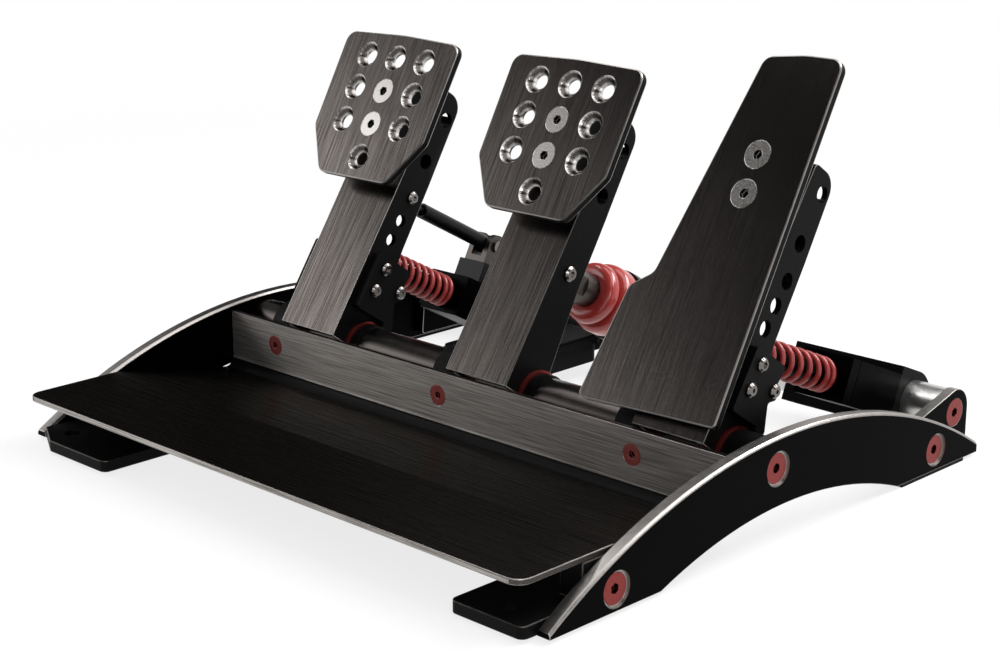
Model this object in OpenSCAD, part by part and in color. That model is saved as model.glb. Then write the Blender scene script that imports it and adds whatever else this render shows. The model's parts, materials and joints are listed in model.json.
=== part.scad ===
// Sim racing pedal set: clutch, brake and gas pedals on one axle, between two
// arched side plates, with a heel plate in front and a clamping tube behind.
// Sizes in millimetres. y runs from the nose of the side plates to the rear,
// z upwards from their underside, x to the driver's right from the middle.

/* [Frame] */
// Overall width across the two side plates
frame_w = 400; // [380:1:440]
// Thickness of a side plate
side_t = 8; // [7:0.5:10]
// Length of a side plate from nose to tail
side_l = 348; // [344:1:352]
// Height of a side plate at its crest
side_h = 54.5; // [53:0.5:60]
// Radius of the arched top edge of a side plate
side_top_r = 328; // [320:1:340]
// Distance of the crest behind the nose
crest_y = 176; // [170:1:180]
// Height of the arch under a side plate
arch_h = 18; // [12:0.5:20]
// Front end of the arch under a side plate
arch_front = 75.5; // [70:0.5:90]
// Rear end of the arch under a side plate
arch_back = 270; // [250:1:275]
// Bevel along the top edges of a side plate
edge_bevel = 1.2; // [0.5:0.1:2]

/* [Heel plate] */
// Thickness of the folded heel plate
sheet_t = 3; // [2:0.5:4]
// Height of the flat lip of the heel plate
lip_z = 28.5; // [27:0.5:34]
// How far the lip stands in front of the side plates
lip_reach = 10.7; // [6:0.1:11]
// Rear end of the flat lip
lip_back = 50; // [46:0.5:60]
// Corner radius of the lip in plan
lip_corner_r = 8; // [4:0.5:14]
// Height of the trough where the heel plate folds up
trough_z = 13.2; // [10:0.2:16]
// Front face of the upright bar of the heel plate
bar_y = 135.5; // [132:0.5:136]
// Height of the upright bar
bar_top = 48.3; // [46:0.1:52]
// Inner bend radius of the fold
bend_r = 6; // [3:0.5:7]

/* [Feet] */
// Thickness of a front foot plate
foot_t = 6.5; // [5:0.5:9]
// How far the foot plates stand in front of the side plates
foot_reach = 11.5; // [11:0.1:16]
// Rear edge of the foot plates
foot_back = 62; // [60:1:80]
// Width of the left foot plate
foot_left_w = 73.5; // [50:0.5:100]
// Width of the right foot plate
foot_right_w = 46; // [40:0.5:100]
// Distance of a mounting hole from the outer edge of its foot
foot_hole_in = 20.4; // [14:0.2:24]
// Distance of the mounting holes behind the nose
foot_hole_y = 4.6; // [3:0.1:10]
// Diameter of the mounting holes
foot_hole_d = 9; // [6:0.1:11]
// Thickness of the rubber pads under the feet
rubber_t = 2; // [1:0.5:5]

/* [Shafts] */
// Diameter of the pedal axle
axle_d = 26; // [24:0.5:26.5]
// Distance of the pedal axle behind the nose
axle_y = 163.3; // [163:0.1:165]
// Height of the pedal axle
axle_z = 37.6; // [36:0.1:40]
// Diameter of the rear tube
tube_d = 25; // [20:0.5:27]
// Wall of the rear tube
tube_wall = 3; // [2:0.5:5]
// Distance of the rear tube behind the nose
tube_y = 335.6; // [330:0.1:340]
// Height of the rear tube
tube_z = 24; // [23:0.5:30]
// Thickness of the rear bracket plates
rear_plate_t = 6; // [5:0.5:8]

/* [Screws] */
// Shank diameter of the large countersunk screws
big_screw_d = 8; // [6:0.5:8]
// Head diameter of the large countersunk screws
big_head_d = 16; // [14:0.2:16.6]
// Shank diameter of the bar screws
bar_screw_d = 6; // [5:0.5:6]
// Head diameter of the bar screws
bar_head_d = 12; // [10:0.2:12]
// Height of the bar screws
bar_screw_z = 34.6; // [33:0.1:36]
// Bar screw of the clutch, brake and gas supports, left of the arm's middle
bar_screw_left = [24.7, 25.1, 19.1];

/* [Pedals] */
// Distance of the clutch arm's middle from the left side of the frame
clutch_in = 74; // [74:0.5:80]
// Distance of the brake arm's middle to the right of the frame's middle
brake_x = 14; // [4:0.5:20]
// Distance of the gas arm's middle from the right side of the frame
gas_in = 51.5; // [50:0.5:56]
// Outer width of an arm
arm_w = 46; // [42:1:50]
// Sheet thickness of an arm
arm_t = 3.5; // [2.5:0.5:4]
// Lean of the arms at rest, in degrees
arm_lean = 33.7; // [30:0.1:36]
// Length of the gas arm above the axle
arm_l = 150; // [146:1:160]
// How much longer the clutch and brake arms are
arm_extra = 9; // [0:0.5:10]
// Front face of an arm, measured square to it from the axle
arm_front = 26.3; // [25.5:0.1:27.5]
// Radius of the round hub of an arm
hub_r = 16.5; // [16.3:0.1:17]
// Wall of the axle bushes
bush_wall = 1.5; // [1:0.1:1.5]
// Diameter of the bush flanges
bush_flange_d = 31; // [30.5:0.1:32]
// Thickness of the bush flanges
bush_flange_t = 2; // [1.5:0.5:3]
// Full travel of the clutch and gas pedals, in degrees
pedal_travel = 16; // [8:1:16]
// Full travel of the brake pedal, in degrees
brake_travel = 5; // [2:1:6]

/* [Pads] */
// Lean of the pads at rest, in degrees
pad_lean = 29.6; // [28:0.1:31]
// Thickness of the pads
pad_t = 5; // [4:0.5:6]
// Front face of the clutch and brake pads, measured square to it from the axle
pad_front = 36.5; // [35:0.5:40]
// Front face of the gas plate, measured square to it from the axle
gas_front = 33.5; // [33:0.5:37]
// Width of the clutch and brake pads
pad_w = 96; // [90:1:110]
// Lower edge of the clutch and brake pads, measured down from the end of the arms
pad_drop = 59.5; // [56:0.5:62]
// Height of the clutch and brake pads
pad_h = 91; // [88:0.5:100]
// Width of the lower edge of the clutch and brake pads
pad_low_w = 58; // [50:1:70]
// Height of the chamfered lower corners of the pads
pad_chamfer_h = 28; // [20:0.5:32]
// Spacing of the pad holes across
hole_pitch_x = 24.5; // [22:0.5:28]
// Spacing of the pad holes along the pad
hole_pitch_s = 21; // [19:0.5:22]
// Diameter of the pad holes
pad_hole_d = 8.5; // [8:0.1:10]
// Countersink of the pad holes
pad_sink_d = 16; // [14:0.2:17]
// How far the gas plate stands past the end of its arm
gas_over = 49; // [40:0.5:56]
// Bottom of the gas plate above the axle
gas_low = 5; // [3:0.5:10]
// Right edge of the gas plate from the arm's middle
gas_right = 31; // [28:0.5:40]
// Left edge of the gas plate at its bottom, from the arm's middle
gas_left = 57.3; // [50:0.1:60]
// Left edge of the gas plate at its top, from the arm's middle
gas_top_left = 16.6; // [12:0.2:20]
// Height of the shoulder of the gas plate above the axle
gas_shoulder = 66.3; // [60:0.1:72]
// Radius of the rounded corners of the pads
pad_corner_r = 7; // [4:0.5:9]

/* [Spring units] */
// Place of the spring pin along the arm
spring_pin_u = 45.5; // [44:0.5:48]
// Place of the spring pin in front of the axle's line
spring_pin_v = 14; // [13:0.5:14]
// Place of the brake pin along the arm
brake_pin_u = 68.2; // [66:0.1:72]
// Diameter of the spring and brake pins
pin_d = 6; // [5:0.5:6.5]
// Outer diameter of the coil springs
spring_d = 20; // [19.6:0.2:21]
// Wire diameter of the coil springs
wire_d = 3; // [2.4:0.1:3.1]
// Turns of a coil spring
spring_turns = 9.5; // [8:0.5:10.5]
// Height of a spring's axis above its pin
spring_rise = 6; // [4:0.5:7]
// How far the axis of the clutch spring passes below the rear tube
clutch_aim = 16; // [12:0.5:17]
// Front seat of the springs behind their pins
spring_start = 24; // [23:0.5:28]
// Rear seat of the clutch spring behind its pin
clutch_spring_end = 82; // [80:0.5:86]
// Rear seat of the gas spring behind its pin
gas_spring_end = 100; // [96:0.5:102]
// Diameter of the spring rods
rod_d = 7; // [6:0.2:7.2]
// Diameter of the guide tube inside a spring
guide_d = 11.6; // [11.4:0.1:12]
// Width of a spring body
body_w = 32; // [28:0.5:34]
// Height of a spring body
body_h = 25.4; // [24:0.2:27]
// Width of a rear block
block_w = 73; // [60:1:74]
// Height of a rear block
block_h = 35; // [33:0.5:36]
// Front face of a rear block, measured from the rear tube
block_front = 18; // [18:0.5:22]
// How far a rear block stands to the right of its arm's middle
block_right = 16; // [14:0.5:20]

/* [Brake stack] */
// Diameter of the brake rod
brake_rod_d = 9; // [8:0.5:10]
// Diameter of the cup that presses the bushes
cup_d = 19; // [16:0.5:22]
// Length of that cup
cup_l = 20; // [12:0.5:22]
// Front face of the bush stack behind the brake pin
stack_start = 45; // [42:0.5:50]
// Length of the front bush
bush_l = 10; // [8:0.5:14]
// Diameter of the front bush
bush_d = 36; // [32:0.5:38]
// Length of the rear bush
ring_l = 16; // [12:0.5:18]
// Diameter of the rear bush
ring_d = 41; // [36:0.5:42]
// Diameter of the load cell housing
cell_d = 42; // [38:0.5:44]

/* [Clutch damper] */
// Place of the damper bolt along the clutch arm
damper_u = 92; // [90:0.5:94]
// Place of the damper bolt in front of the axle's line
damper_v = 12; // [11:0.5:13]
// Diameter of the damper bolt
damper_bolt_d = 5; // [4:0.5:6]
// Distance of the clevis pin behind the front of the clutch spring body
clevis_back = 23; // [22:0.5:26]
// Height of the clevis pin above the axis of the clutch spring
clevis_rise = 39; // [38.5:0.5:41]
// Diameter of the clevis pin
clevis_pin_d = 5; // [4:0.5:6]
// Diameter of the damper body
damper_d = 9.4; // [9.2:0.1:11]
// Diameter of the damper rod
damper_rod_d = 4.5; // [4:0.1:4.6]
// Front end of the damper body behind the damper bolt
damper_front = 33; // [32.5:0.5:36]
// Length of the damper rod behind the damper bolt
damper_rod_l = 62; // [56:0.5:64]

/* [Control box] */
// Gap between the control box and the rear blocks beside it
box_gap = 6.5; // [5:0.5:10]
// Length of the control box
box_l = 91; // [70:1:92]
// Height of the control box with its cover
box_h = 18; // [16:0.5:20]
// Thickness of its cover
cover_t = 4; // [3:0.5:6]

/* [Hidden] */
$fn = 64;
// Clearance of a fixed fit on the radius
fit = 0.05;
// Clearance between faces that are bolted together
seat = 0.1;
// Gap between a piece and the side plate beside it
side_gap = 0.5;
// Gap between moving and fixed faces along the axle
run_gap = 0.5;
// Overshoot of a cut past the face that it opens
over = 1;
// Number of segments in a rounded corner
corner_steps = 8;
// Segments of the large arcs of a side plate
arc_fn = 240;

inner_x = frame_w / 2 - side_t;
pedal_x = [clutch_in - frame_w / 2, brake_x, frame_w / 2 - gas_in];
bar_screw_x = pedal_x - bar_screw_left;
rear_reach = max(side_l, tube_y + block_h / 2);
mid_y = (rear_reach - foot_reach) / 2;
bar_back = bar_y + sheet_t;
delta = arm_lean - pad_lean;
pad_low = arm_l - pad_drop;
gas_top = arm_l + gas_over;
arm_end = [arm_l + arm_extra, arm_l + arm_extra, arm_l];

// Point in the side view at u along an arm and v in front of the axle's line
function arm_point(u, v) = [
    axle_y + u * sin(arm_lean) - v * cos(arm_lean),
    axle_z + u * cos(arm_lean) + v * sin(arm_lean)
];
// Downward slope and length of the line from a pin to a rear point
function drop(a, b) = atan2(a[1] - b[1], b[0] - a[0]);
function reach(a, b) = norm(b - a);

tube = [tube_y, tube_z];
spring_pin = arm_point(spring_pin_u, spring_pin_v);
brake_pin = arm_point(brake_pin_u, spring_pin_v);
damper_pin = arm_point(damper_u, damper_v);
spring_drop = drop(spring_pin, tube);
spring_reach = reach(spring_pin, tube);
// Slope of each spring's axis: above its pin, and level with the tube or below it
unit_slope = [for (aim = [clutch_aim, 0, 0]) spring_drop + asin((spring_rise + aim) / spring_reach)];
spring_end = [clutch_spring_end, 0, gas_spring_end];
// Point in the side view at w along and h above the line of a spring unit
function unit_point(i, w, h) = spring_pin
    + w * [cos(unit_slope[i]), -sin(unit_slope[i])]
    + h * [sin(unit_slope[i]), cos(unit_slope[i])];
clevis_w = clutch_spring_end + clevis_back;
clevis = unit_point(0, clevis_w, spring_rise + clevis_rise);
brake_drop = drop(brake_pin, tube);
brake_reach = reach(brake_pin, tube);
damper_drop = drop(damper_pin, clevis);
damper_reach = reach(damper_pin, clevis);

// Rounded outlines: each corner of a closed outline gets its own radius
function unit(v) = v / norm(v);
function turn(a) = a > 180 ? a - 360 : a < -180 ? a + 360 : a;
function heading(v) = atan2(v[1], v[0]);
function corner(a, b, c, r) =
    r == 0 ? [b] :
    let (
        to_a = unit(a - b),
        to_c = unit(c - b),
        half = acos(to_a * to_c) / 2,
        centre = b + unit(to_a + to_c) * r / sin(half),
        first = heading(b + to_a * r / tan(half) - centre),
        last = heading(b + to_c * r / tan(half) - centre),
        sweep = turn(last - first)
    )
    [for (i = [0:corner_steps])
        let (t = first + sweep * i / corner_steps)
        centre + r * [cos(t), sin(t)]];
function rounded(pts, radii) =
    [for (i = [0:len(pts) - 1])
        each corner(
            pts[(i + len(pts) - 1) % len(pts)], pts[i], pts[(i + 1) % len(pts)], radii[i])];

// Directions and placing
module along_x(x0, x1) {
    translate([x0, 0, 0]) rotate([90, 0, 90]) linear_extrude(x1 - x0) children();
}
module rod_x(x0, x1, d) {
    translate([x0, 0, 0]) rotate([0, 90, 0]) cylinder(d = d, h = x1 - x0);
}
module rod_y(y0, y1, d) {
    translate([0, y0, 0]) rotate([-90, 0, 0]) cylinder(d = d, h = y1 - y0);
}
module at_axle(lean) {
    translate([0, axle_y, axle_z]) rotate([-lean, 0, 0]) children();
}
module at_point(p, slope) {
    translate([0, p[0], p[1]]) rotate([-slope, 0, 0]) children();
}
// The finished frame: centred front to back, standing on the rubber pads
module seated() {
    translate([0, -mid_y, rubber_t]) children();
}

// Screws: head flush with z = 0, shank downwards
module countersunk(d, head_d, l) {
    key_d = 0.7 * d;
    difference() {
        union() {
            cylinder(d = d, h = l);
            cylinder(d1 = head_d, d2 = d, h = (head_d - d) / 2);
        }
        translate([0, 0, -over]) cylinder(d = key_d, h = over + 0.35 * d, $fn = 6);
    }
}
module countersunk_cut(d, head_d, l) {
    translate([0, 0, -over]) cylinder(d = d + 2 * fit, h = l + over);
    cylinder(d1 = head_d + 2 * seat, d2 = d + 2 * seat, h = (head_d - d) / 2);
    translate([0, 0, -over]) cylinder(d = head_d + 2 * seat, h = over + 0.01);
}
module button_screw(d, head_d, head_h, l) {
    difference() {
        union() {
            cylinder(d = d, h = l);
            translate([0, 0, -head_h / 2]) cylinder(d = head_d, h = head_h / 2);
            translate([0, 0, -head_h])
                cylinder(d1 = head_d - head_h, d2 = head_d, h = head_h / 2);
        }
        translate([0, 0, -head_h - over]) cylinder(d = 0.6 * d, h = over + 0.6 * head_h, $fn = 6);
    }
}

// Side plates
side_recess_d = big_head_d + 2.4;
side_recess_h = 1.2;
side_screw_at = [[44.3, 10.8], [axle_y, axle_z], [305.6, 11.7]];
side_screw_l = [22, 24, side_t + rear_plate_t - 2.6];
arch_r = (pow((arch_back - arch_front) / 2, 2) + pow(arch_h, 2)) / (2 * arch_h);

// Drives a shape given along z into the right-hand side plate from outside
module into_side(p, depth) {
    translate([frame_w / 2 - depth, p[0], p[1]]) rotate([0, -90, 0]) children();
}
module top_bevel() {
    translate([0, crest_y, side_h - side_top_r]) rotate([0, 90, 0])
        rotate_extrude($fn = arc_fn)
            polygon([
                [side_top_r - edge_bevel - over, over],
                [side_top_r + over, over],
                [side_top_r + over, -edge_bevel - over]
            ]);
}
module side_plate() {
    difference() {
        intersection() {
            along_x(inner_x, frame_w / 2) square([side_l, side_h]);
            translate([0, crest_y, side_h - side_top_r])
                rotate([0, 90, 0]) cylinder(r = side_top_r, h = frame_w, $fn = arc_fn);
        }
        translate([0, (arch_front + arch_back) / 2, arch_h - arch_r])
            rotate([0, 90, 0]) cylinder(r = arch_r, h = frame_w, $fn = arc_fn);
        translate([frame_w / 2, 0, 0]) top_bevel();
        translate([inner_x, 0, 0]) mirror([1, 0, 0]) top_bevel();
        for (p = side_screw_at) {
            into_side(p, -over) cylinder(d = side_recess_d, h = side_recess_h + over);
            into_side(p, side_recess_h) countersunk_cut(big_screw_d, big_head_d, side_t);
        }
    }
}
module side_plate_right() {
    color("#1b1b1d") side_plate();
}
module side_plate_left() {
    color("#1b1b1d") mirror([1, 0, 0]) side_plate();
}
module side_screw_set() {
    for (i = [0:2])
        into_side(side_screw_at[i], side_recess_h)
            countersunk(big_screw_d, big_head_d, side_screw_l[i]);
}
module side_screws() {
    color("#b3282d") {
        side_screw_set();
        mirror([1, 0, 0]) side_screw_set();
    }
}

// Heel plate: one sheet with a lip, a sloping floor and an upright bar
heel_slope = (lip_z - trough_z) / (bar_y - lip_back);
heel_drop = sheet_t * sqrt(1 + pow(heel_slope, 2));
heel_half_w = inner_x - side_gap;
under_z = lip_z - sheet_t;
function heel_under(y) = lip_z - heel_drop - (y - lip_back) * heel_slope;

module heel_plate() {
    color("#1d1d1f") difference() {
        intersection() {
            along_x(-heel_half_w, heel_half_w) polygon(rounded([
                [-lip_reach, lip_z],
                [lip_back, lip_z],
                [bar_y, trough_z],
                [bar_y, bar_top],
                [bar_back, bar_top],
                [bar_back, heel_under(bar_back)],
                [lip_back, under_z],
                [-lip_reach, under_z]
            ], [0, 6, bend_r, 0, 0, bend_r + sheet_t, 6, 0]));
            linear_extrude(bar_top + over) polygon(rounded([
                [-heel_half_w, -lip_reach],
                [heel_half_w, -lip_reach],
                [heel_half_w, bar_back + over],
                [-heel_half_w, bar_back + over]
            ], [lip_corner_r, lip_corner_r, 0, 0]));
        }
        for (x = bar_screw_x)
            translate([x, bar_y, bar_screw_z]) rotate([-90, 0, 0])
                countersunk_cut(bar_screw_d, bar_head_d, sheet_t + over);
    }
}
module bar_screws() {
    color("#b3282d")
        for (x = bar_screw_x)
            translate([x, bar_y, bar_screw_z]) rotate([-90, 0, 0])
                countersunk(bar_screw_d, bar_head_d, sheet_t + support_plate_t);
}

// Front feet: a plate on the floor with a lug against the side plate
lug_w = 14;
lug_front = 30;
lug_back = 58;
foot_outer_x = inner_x - seat;
foot_hole_x = foot_outer_x - foot_hole_in;

module foot_lug() {
    along_x(foot_outer_x - lug_w, foot_outer_x) polygon([
        [lug_front, 0],
        [lug_back, 0],
        [lug_back, heel_under(lug_back) - 0.3],
        [lip_back, under_z - 0.3],
        [lug_front, under_z - 0.3]
    ]);
}
module foot_cuts() {
    translate([foot_hole_x, foot_hole_y, -over]) cylinder(d = foot_hole_d, h = foot_t + 2 * over);
    into_side(side_screw_at[0], side_recess_h)
        cylinder(d = big_screw_d + 2 * fit, h = side_screw_l[0] + over);
}
module front_foot_right() {
    color("#161617") difference() {
        union() {
            linear_extrude(foot_t) polygon(rounded([
                [foot_outer_x, foot_back],
                [foot_outer_x - foot_right_w, foot_back],
                [foot_outer_x - foot_right_w, 2.5 - foot_reach],
                [foot_outer_x, 2.5 - foot_reach]
            ], [0, 6, 4, 4]));
            foot_lug();
        }
        foot_cuts();
    }
}
module front_foot_left() {
    chamfer_x = 22;
    chamfer_y = 12;
    color("#161617") mirror([1, 0, 0]) difference() {
        union() {
            linear_extrude(foot_t) polygon(rounded([
                [foot_outer_x, foot_back],
                [foot_outer_x - foot_left_w, foot_back],
                [foot_outer_x - foot_left_w, -foot_reach],
                [foot_outer_x - chamfer_x, -foot_reach],
                [foot_outer_x, chamfer_y - foot_reach]
            ], [0, 6, 4, 2, 0]));
            foot_lug();
        }
        foot_cuts();
    }
}
module rubber_pads() {
    front_l = 34;
    front_w = 36;
    rear_l = 60;
    color("#0e0e0e") for (side = [-1, 1]) {
        translate([side * (foot_outer_x - 2 - front_w / 2) - front_w / 2, foot_back - front_l - 3, -rubber_t])
            cube([front_w, front_l, rubber_t]);
        translate([side * (inner_x + side_t / 2) - side_t / 2 + 0.5, arch_back + 5, -rubber_t])
            cube([side_t - 1, rear_l, rubber_t]);
    }
}

// Pedal axle and what carries it behind the bar
bush_d_out = axle_d + 2 * bush_wall;
support_ring_d = 2 * hub_r;
support_w = 16.4;
support_plate_t = 6;
support_low = 26;
support_high = 43;
axle_end = inner_x - 0.2;
groove_w = 1.6;
side_face = arm_w / 2 + bush_flange_t + run_gap;
collar_d = axle_d + 2.4;

module pedal_axle() {
    color("#3a3a3d") translate([0, axle_y, axle_z]) difference() {
        rod_x(-axle_end, axle_end, axle_d);
        for (side = [0, 1]) mirror([side, 0, 0])
            rod_x(axle_end - side_screw_l[1], axle_end + over, big_screw_d + 2 * fit);
    }
}
module axle_support(i) {
    right = pedal_x[i] - side_face;
    left = right - support_w;
    color("#141415") difference() {
        union() {
            translate([0, axle_y, axle_z]) rod_x(left, right, support_ring_d);
            translate([left, bar_back, support_low])
                cube([right - left, axle_y - bar_back, support_high - support_low]);
            translate([left, bar_back, support_low])
                cube([bar_screw_x[i] + 8 - left, support_plate_t, support_high - support_low]);
        }
        translate([0, axle_y, axle_z]) {
            rod_x(left - over, right + over, axle_d + 2 * fit);
            difference() {
                rod_x(left + 4, left + 4 + groove_w, support_ring_d + over);
                rod_x(left, right, support_ring_d - 2);
                translate([left, -axle_d, -axle_d]) cube([support_w, axle_d, 2 * axle_d]);
            }
        }
        translate([bar_screw_x[i], bar_back, bar_screw_z])
            rod_y(-over, support_plate_t + over, bar_screw_d + 2 * fit);
    }
}
module clutch_axle_support() {
    axle_support(0);
}
module brake_axle_support() {
    axle_support(1);
}
module gas_axle_support() {
    axle_support(2);
}
module axle_collars() {
    narrow = 6;
    collar_w = [narrow, narrow, axle_end - pedal_x[2] - side_face - narrow / 3];
    color("#141415") translate([0, axle_y, axle_z]) for (i = [0:2]) {
        x = pedal_x[i] + side_face;
        difference() {
            rod_x(x, x + collar_w[i], collar_d);
            rod_x(x - over, x + collar_w[i] + over, axle_d + 2 * fit);
        }
    }
}

// Rear tube, its bracket plates and its end screws
rear_plate_x = inner_x - seat;
tube_end = rear_plate_x - rear_plate_t - seat;
tube_plug_l = 26;
rear_screw_l = 22;

module rear_tube() {
    color("#c9c9cc") translate([0, tube_y, tube_z]) difference() {
        rod_x(-tube_end, tube_end, tube_d);
        rod_x(tube_plug_l - tube_end, tube_end - tube_plug_l, tube_d - 2 * tube_wall);
        for (side = [0, 1]) mirror([side, 0, 0])
            rod_x(tube_end - tube_plug_l - over, tube_end + over, big_screw_d + 2 * fit);
    }
}
module into_rear_plate() {
    translate([rear_plate_x, tube_y, tube_z]) rotate([0, -90, 0]) children();
}
module rear_bracket() {
    round_r = tube_d / 2 + 0.5;
    front_y = side_screw_at[2][0] - 16;
    low_z = 3;
    difference() {
        along_x(rear_plate_x - rear_plate_t, rear_plate_x) polygon(rounded([
            [front_y, low_z],
            [front_y + 2, tube_z + 2],
            [side_screw_at[2][0], tube_z + 5],
            [tube_y, tube_z + round_r],
            [tube_y + round_r, tube_z + round_r],
            [tube_y + round_r, low_z]
        ], [2, 6, 4, 0, round_r - 1, 6]));
        into_rear_plate() countersunk_cut(big_screw_d, big_head_d, rear_plate_t + over);
        into_side(side_screw_at[2], side_recess_h)
            cylinder(d = big_screw_d + 2 * fit, h = side_screw_l[2] + side_gap);
    }
}
module rear_bracket_right() {
    color("#171718") rear_bracket();
}
module rear_bracket_left() {
    color("#171718") mirror([1, 0, 0]) rear_bracket();
}
module rear_tube_screws() {
    color("#b3282d") for (side = [0, 1]) mirror([side, 0, 0])
        into_rear_plate() countersunk(big_screw_d, big_head_d, rear_screw_l);
}

// Pedal arms: channels open to the rear, with a round hub on each flange
chin_gap = 1.2;
chin_y = bar_back + chin_gap;
chin_u = (chin_y - axle_y + arm_front * cos(arm_lean)) / sin(arm_lean);
arm_top_r = 10;
rear_v = [[104, 3.4], [62, 2], [14, -3]];
rear_top_v = 6.2;
// Closing web inside the rear of an arm, between these heights
back_web_v = rear_top_v + 0.3;
back_web_t = 3;
back_web_from = [damper_u + 10, brake_pin_u + 16, arm_l - 66];
throat = [axle_y - hub_r, support_high + 1.4];
throat_u = (throat[0] - axle_y) * sin(arm_lean) + (throat[1] - axle_z) * cos(arm_lean);
throat_v = (axle_y - throat[0]) * cos(arm_lean) + (throat[1] - axle_z) * sin(arm_lean);
clutch_hole_d = 7.5;
arm_hole_d = 9;
pad_screw_d = 8;
pad_screw_head_d = 15.4;
pad_screw_l = 24;
screw_row = [1, 2];

// Height of a row of pad holes above the axle, counted from the lowest row
function pad_row(i) = pad_low + 13 + i * hole_pitch_s;

module flange_outline(l) {
    polygon(rounded(concat(
        [[-arm_front, chin_u], [-arm_front, l], [-rear_top_v, l]],
        [for (p = rear_v) [-p[1], p[0]]],
        [[0, 0], [-throat_v, throat_u]]
    ), [0, 3, arm_top_r, 0, 0, 0, 0, 0]));
    circle(r = hub_r);
}
module arm_hole(u, v, d) {
    translate([0, -v, u]) rod_x(-arm_w, arm_w, d);
}
// A hole in the right flange alone
module arm_pocket(u, v) {
    translate([0, -v, u]) rod_x(0, arm_w, arm_hole_d);
}
module pad_screw_place(front) {
    at_axle(pad_lean)
        for (i = screw_row)
            translate([0, -front, pad_row(i)]) rotate([-90, 0, 0]) children();
}
module arm(i, front) {
    half = arm_w / 2;
    l = arm_end[i];
    lift = (l - arm_l) / 2;
    translate([pedal_x[i], 0, 0]) difference() {
        at_axle(arm_lean) difference() {
            union() {
                along_x(-half, arm_t - half) flange_outline(l);
                along_x(half - arm_t, half) flange_outline(l);
                translate([-half, -arm_front, chin_u]) cube([arm_w, arm_t, l - 3 - chin_u]);
                translate([-half, -back_web_v - back_web_t, back_web_from[i]])
                    cube([arm_w, back_web_t, l - arm_top_r - 2 - back_web_from[i]]);
            }
            rod_x(-arm_w, arm_w, bush_d_out + 2 * fit);
            arm_pocket(arm_l - 11 + lift, 12);
            arm_pocket(arm_l - 39.4 + lift, 13.8);
            children();
        }
        pad_screw_place(front) cylinder(d = pad_screw_d + 2 * fit, h = pad_screw_l + 10);
    }
}
module spring_arm_holes(d) {
    arm_hole(76.5, 13, d);
    arm_hole(63.5, 14, d);
    arm_hole(spring_pin_u, spring_pin_v, pin_d + 2 * fit);
    arm_hole(bracket_screw_u, bracket_screw_v, bracket_screw_d + 2 * fit);
}
module clutch_arm() {
    color("#1b1b1c") arm(0, pad_front) {
        spring_arm_holes(clutch_hole_d);
        arm_hole(damper_u, damper_v, damper_bolt_d + 2 * fit);
    }
}
module brake_arm() {
    color("#1b1b1c") arm(1, pad_front) {
        arm_hole(brake_pin_u, spring_pin_v, pin_d + 2 * fit);
    }
}
module gas_arm() {
    color("#1b1b1c") arm(2, gas_front) {
        spring_arm_holes(arm_hole_d);
        arm_pocket(arm_l - 59.5, 12);
    }
}

// Red flanged bushes that carry an arm on the axle
module axle_bushes(i) {
    half = arm_w / 2;
    sleeve_l = arm_t + 6;
    color("#a8242a") translate([pedal_x[i], axle_y, axle_z]) difference() {
        union() {
            rod_x(half - sleeve_l, half + bush_flange_t, bush_d_out);
            rod_x(half, half + bush_flange_t, bush_flange_d);
            rod_x(-half - bush_flange_t, sleeve_l - half, bush_d_out);
            rod_x(-half - bush_flange_t, -half, bush_flange_d);
        }
        rod_x(-arm_w, arm_w, axle_d + 2 * fit);
    }
}
module clutch_axle_bushes() {
    axle_bushes(0);
}
module brake_axle_bushes() {
    axle_bushes(1);
}
module gas_axle_bushes() {
    axle_bushes(2);
}

// Pads, their wedge brackets and their screws
wedge_w = 34;
wedge_low = pad_row(screw_row[0]) - 14;
wedge_high = pad_row(screw_row[1]) + 8;
// Distance of the arm's front face from the axle, measured square to the pad
function arm_face(s) = (arm_front - s * sin(delta)) / cos(delta);

module pad_plate(front) {
    at_axle(pad_lean) translate([0, pad_t - front, 0]) rotate([90, 0, 0])
        linear_extrude(pad_t) children();
}
module pad_sinks(front, places) {
    at_axle(pad_lean)
        for (p = places)
            translate([p[0], -front, p[1]]) rotate([-90, 0, 0])
                countersunk_cut(pad_hole_d, pad_sink_d, pad_t + over);
}
module pad_outline() {
    half = pad_w / 2;
    crown = pad_h / 57;
    draw_in = pad_w / 160;
    top = pad_low + pad_h;
    r = pad_corner_r;
    polygon(rounded([
        [pad_low_w / 2, pad_low],
        [half - draw_in, pad_low + pad_chamfer_h],
        [half, top - crown],
        [0, top],
        [-half, top - crown],
        [draw_in - half, pad_low + pad_chamfer_h],
        [-pad_low_w / 2, pad_low]
    ], [r, r, r, 2 * pad_w, r, r, r]));
}
module foot_pad(x) {
    rows = [for (i = [0:3]) pad_row(i)];
    holes = concat(
        [[0, rows[0]], [0, rows[3]]],
        [for (side = [-1, 1]) for (i = [1:3]) [side * hole_pitch_x, rows[i]]]
    );
    translate([x, 0, 0]) difference() {
        pad_plate(pad_front) pad_outline();
        pad_sinks(pad_front, holes);
        pad_screw_place(pad_front)
            countersunk_cut(pad_screw_d, pad_screw_head_d, pad_t + over);
    }
}
module clutch_pad() {
    color("#242424") foot_pad(pedal_x[0]);
}
module brake_pad() {
    color("#242424") foot_pad(pedal_x[1]);
}
module gas_outline() {
    crown = gas_right / 20;
    r = pad_corner_r;
    polygon(rounded([
        [gas_right, gas_low + crown],
        [gas_right, gas_top + crown],
        [gas_right / 4, gas_top + crown],
        [-gas_top_left, gas_top - crown],
        [-0.65 * gas_left, 1.14 * gas_shoulder],
        [-0.867 * gas_left, gas_shoulder],
        [-gas_left, gas_low - crown]
    ], [r / 3, r, 2 * gas_right, r, r, r, r / 2]));
}
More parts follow.
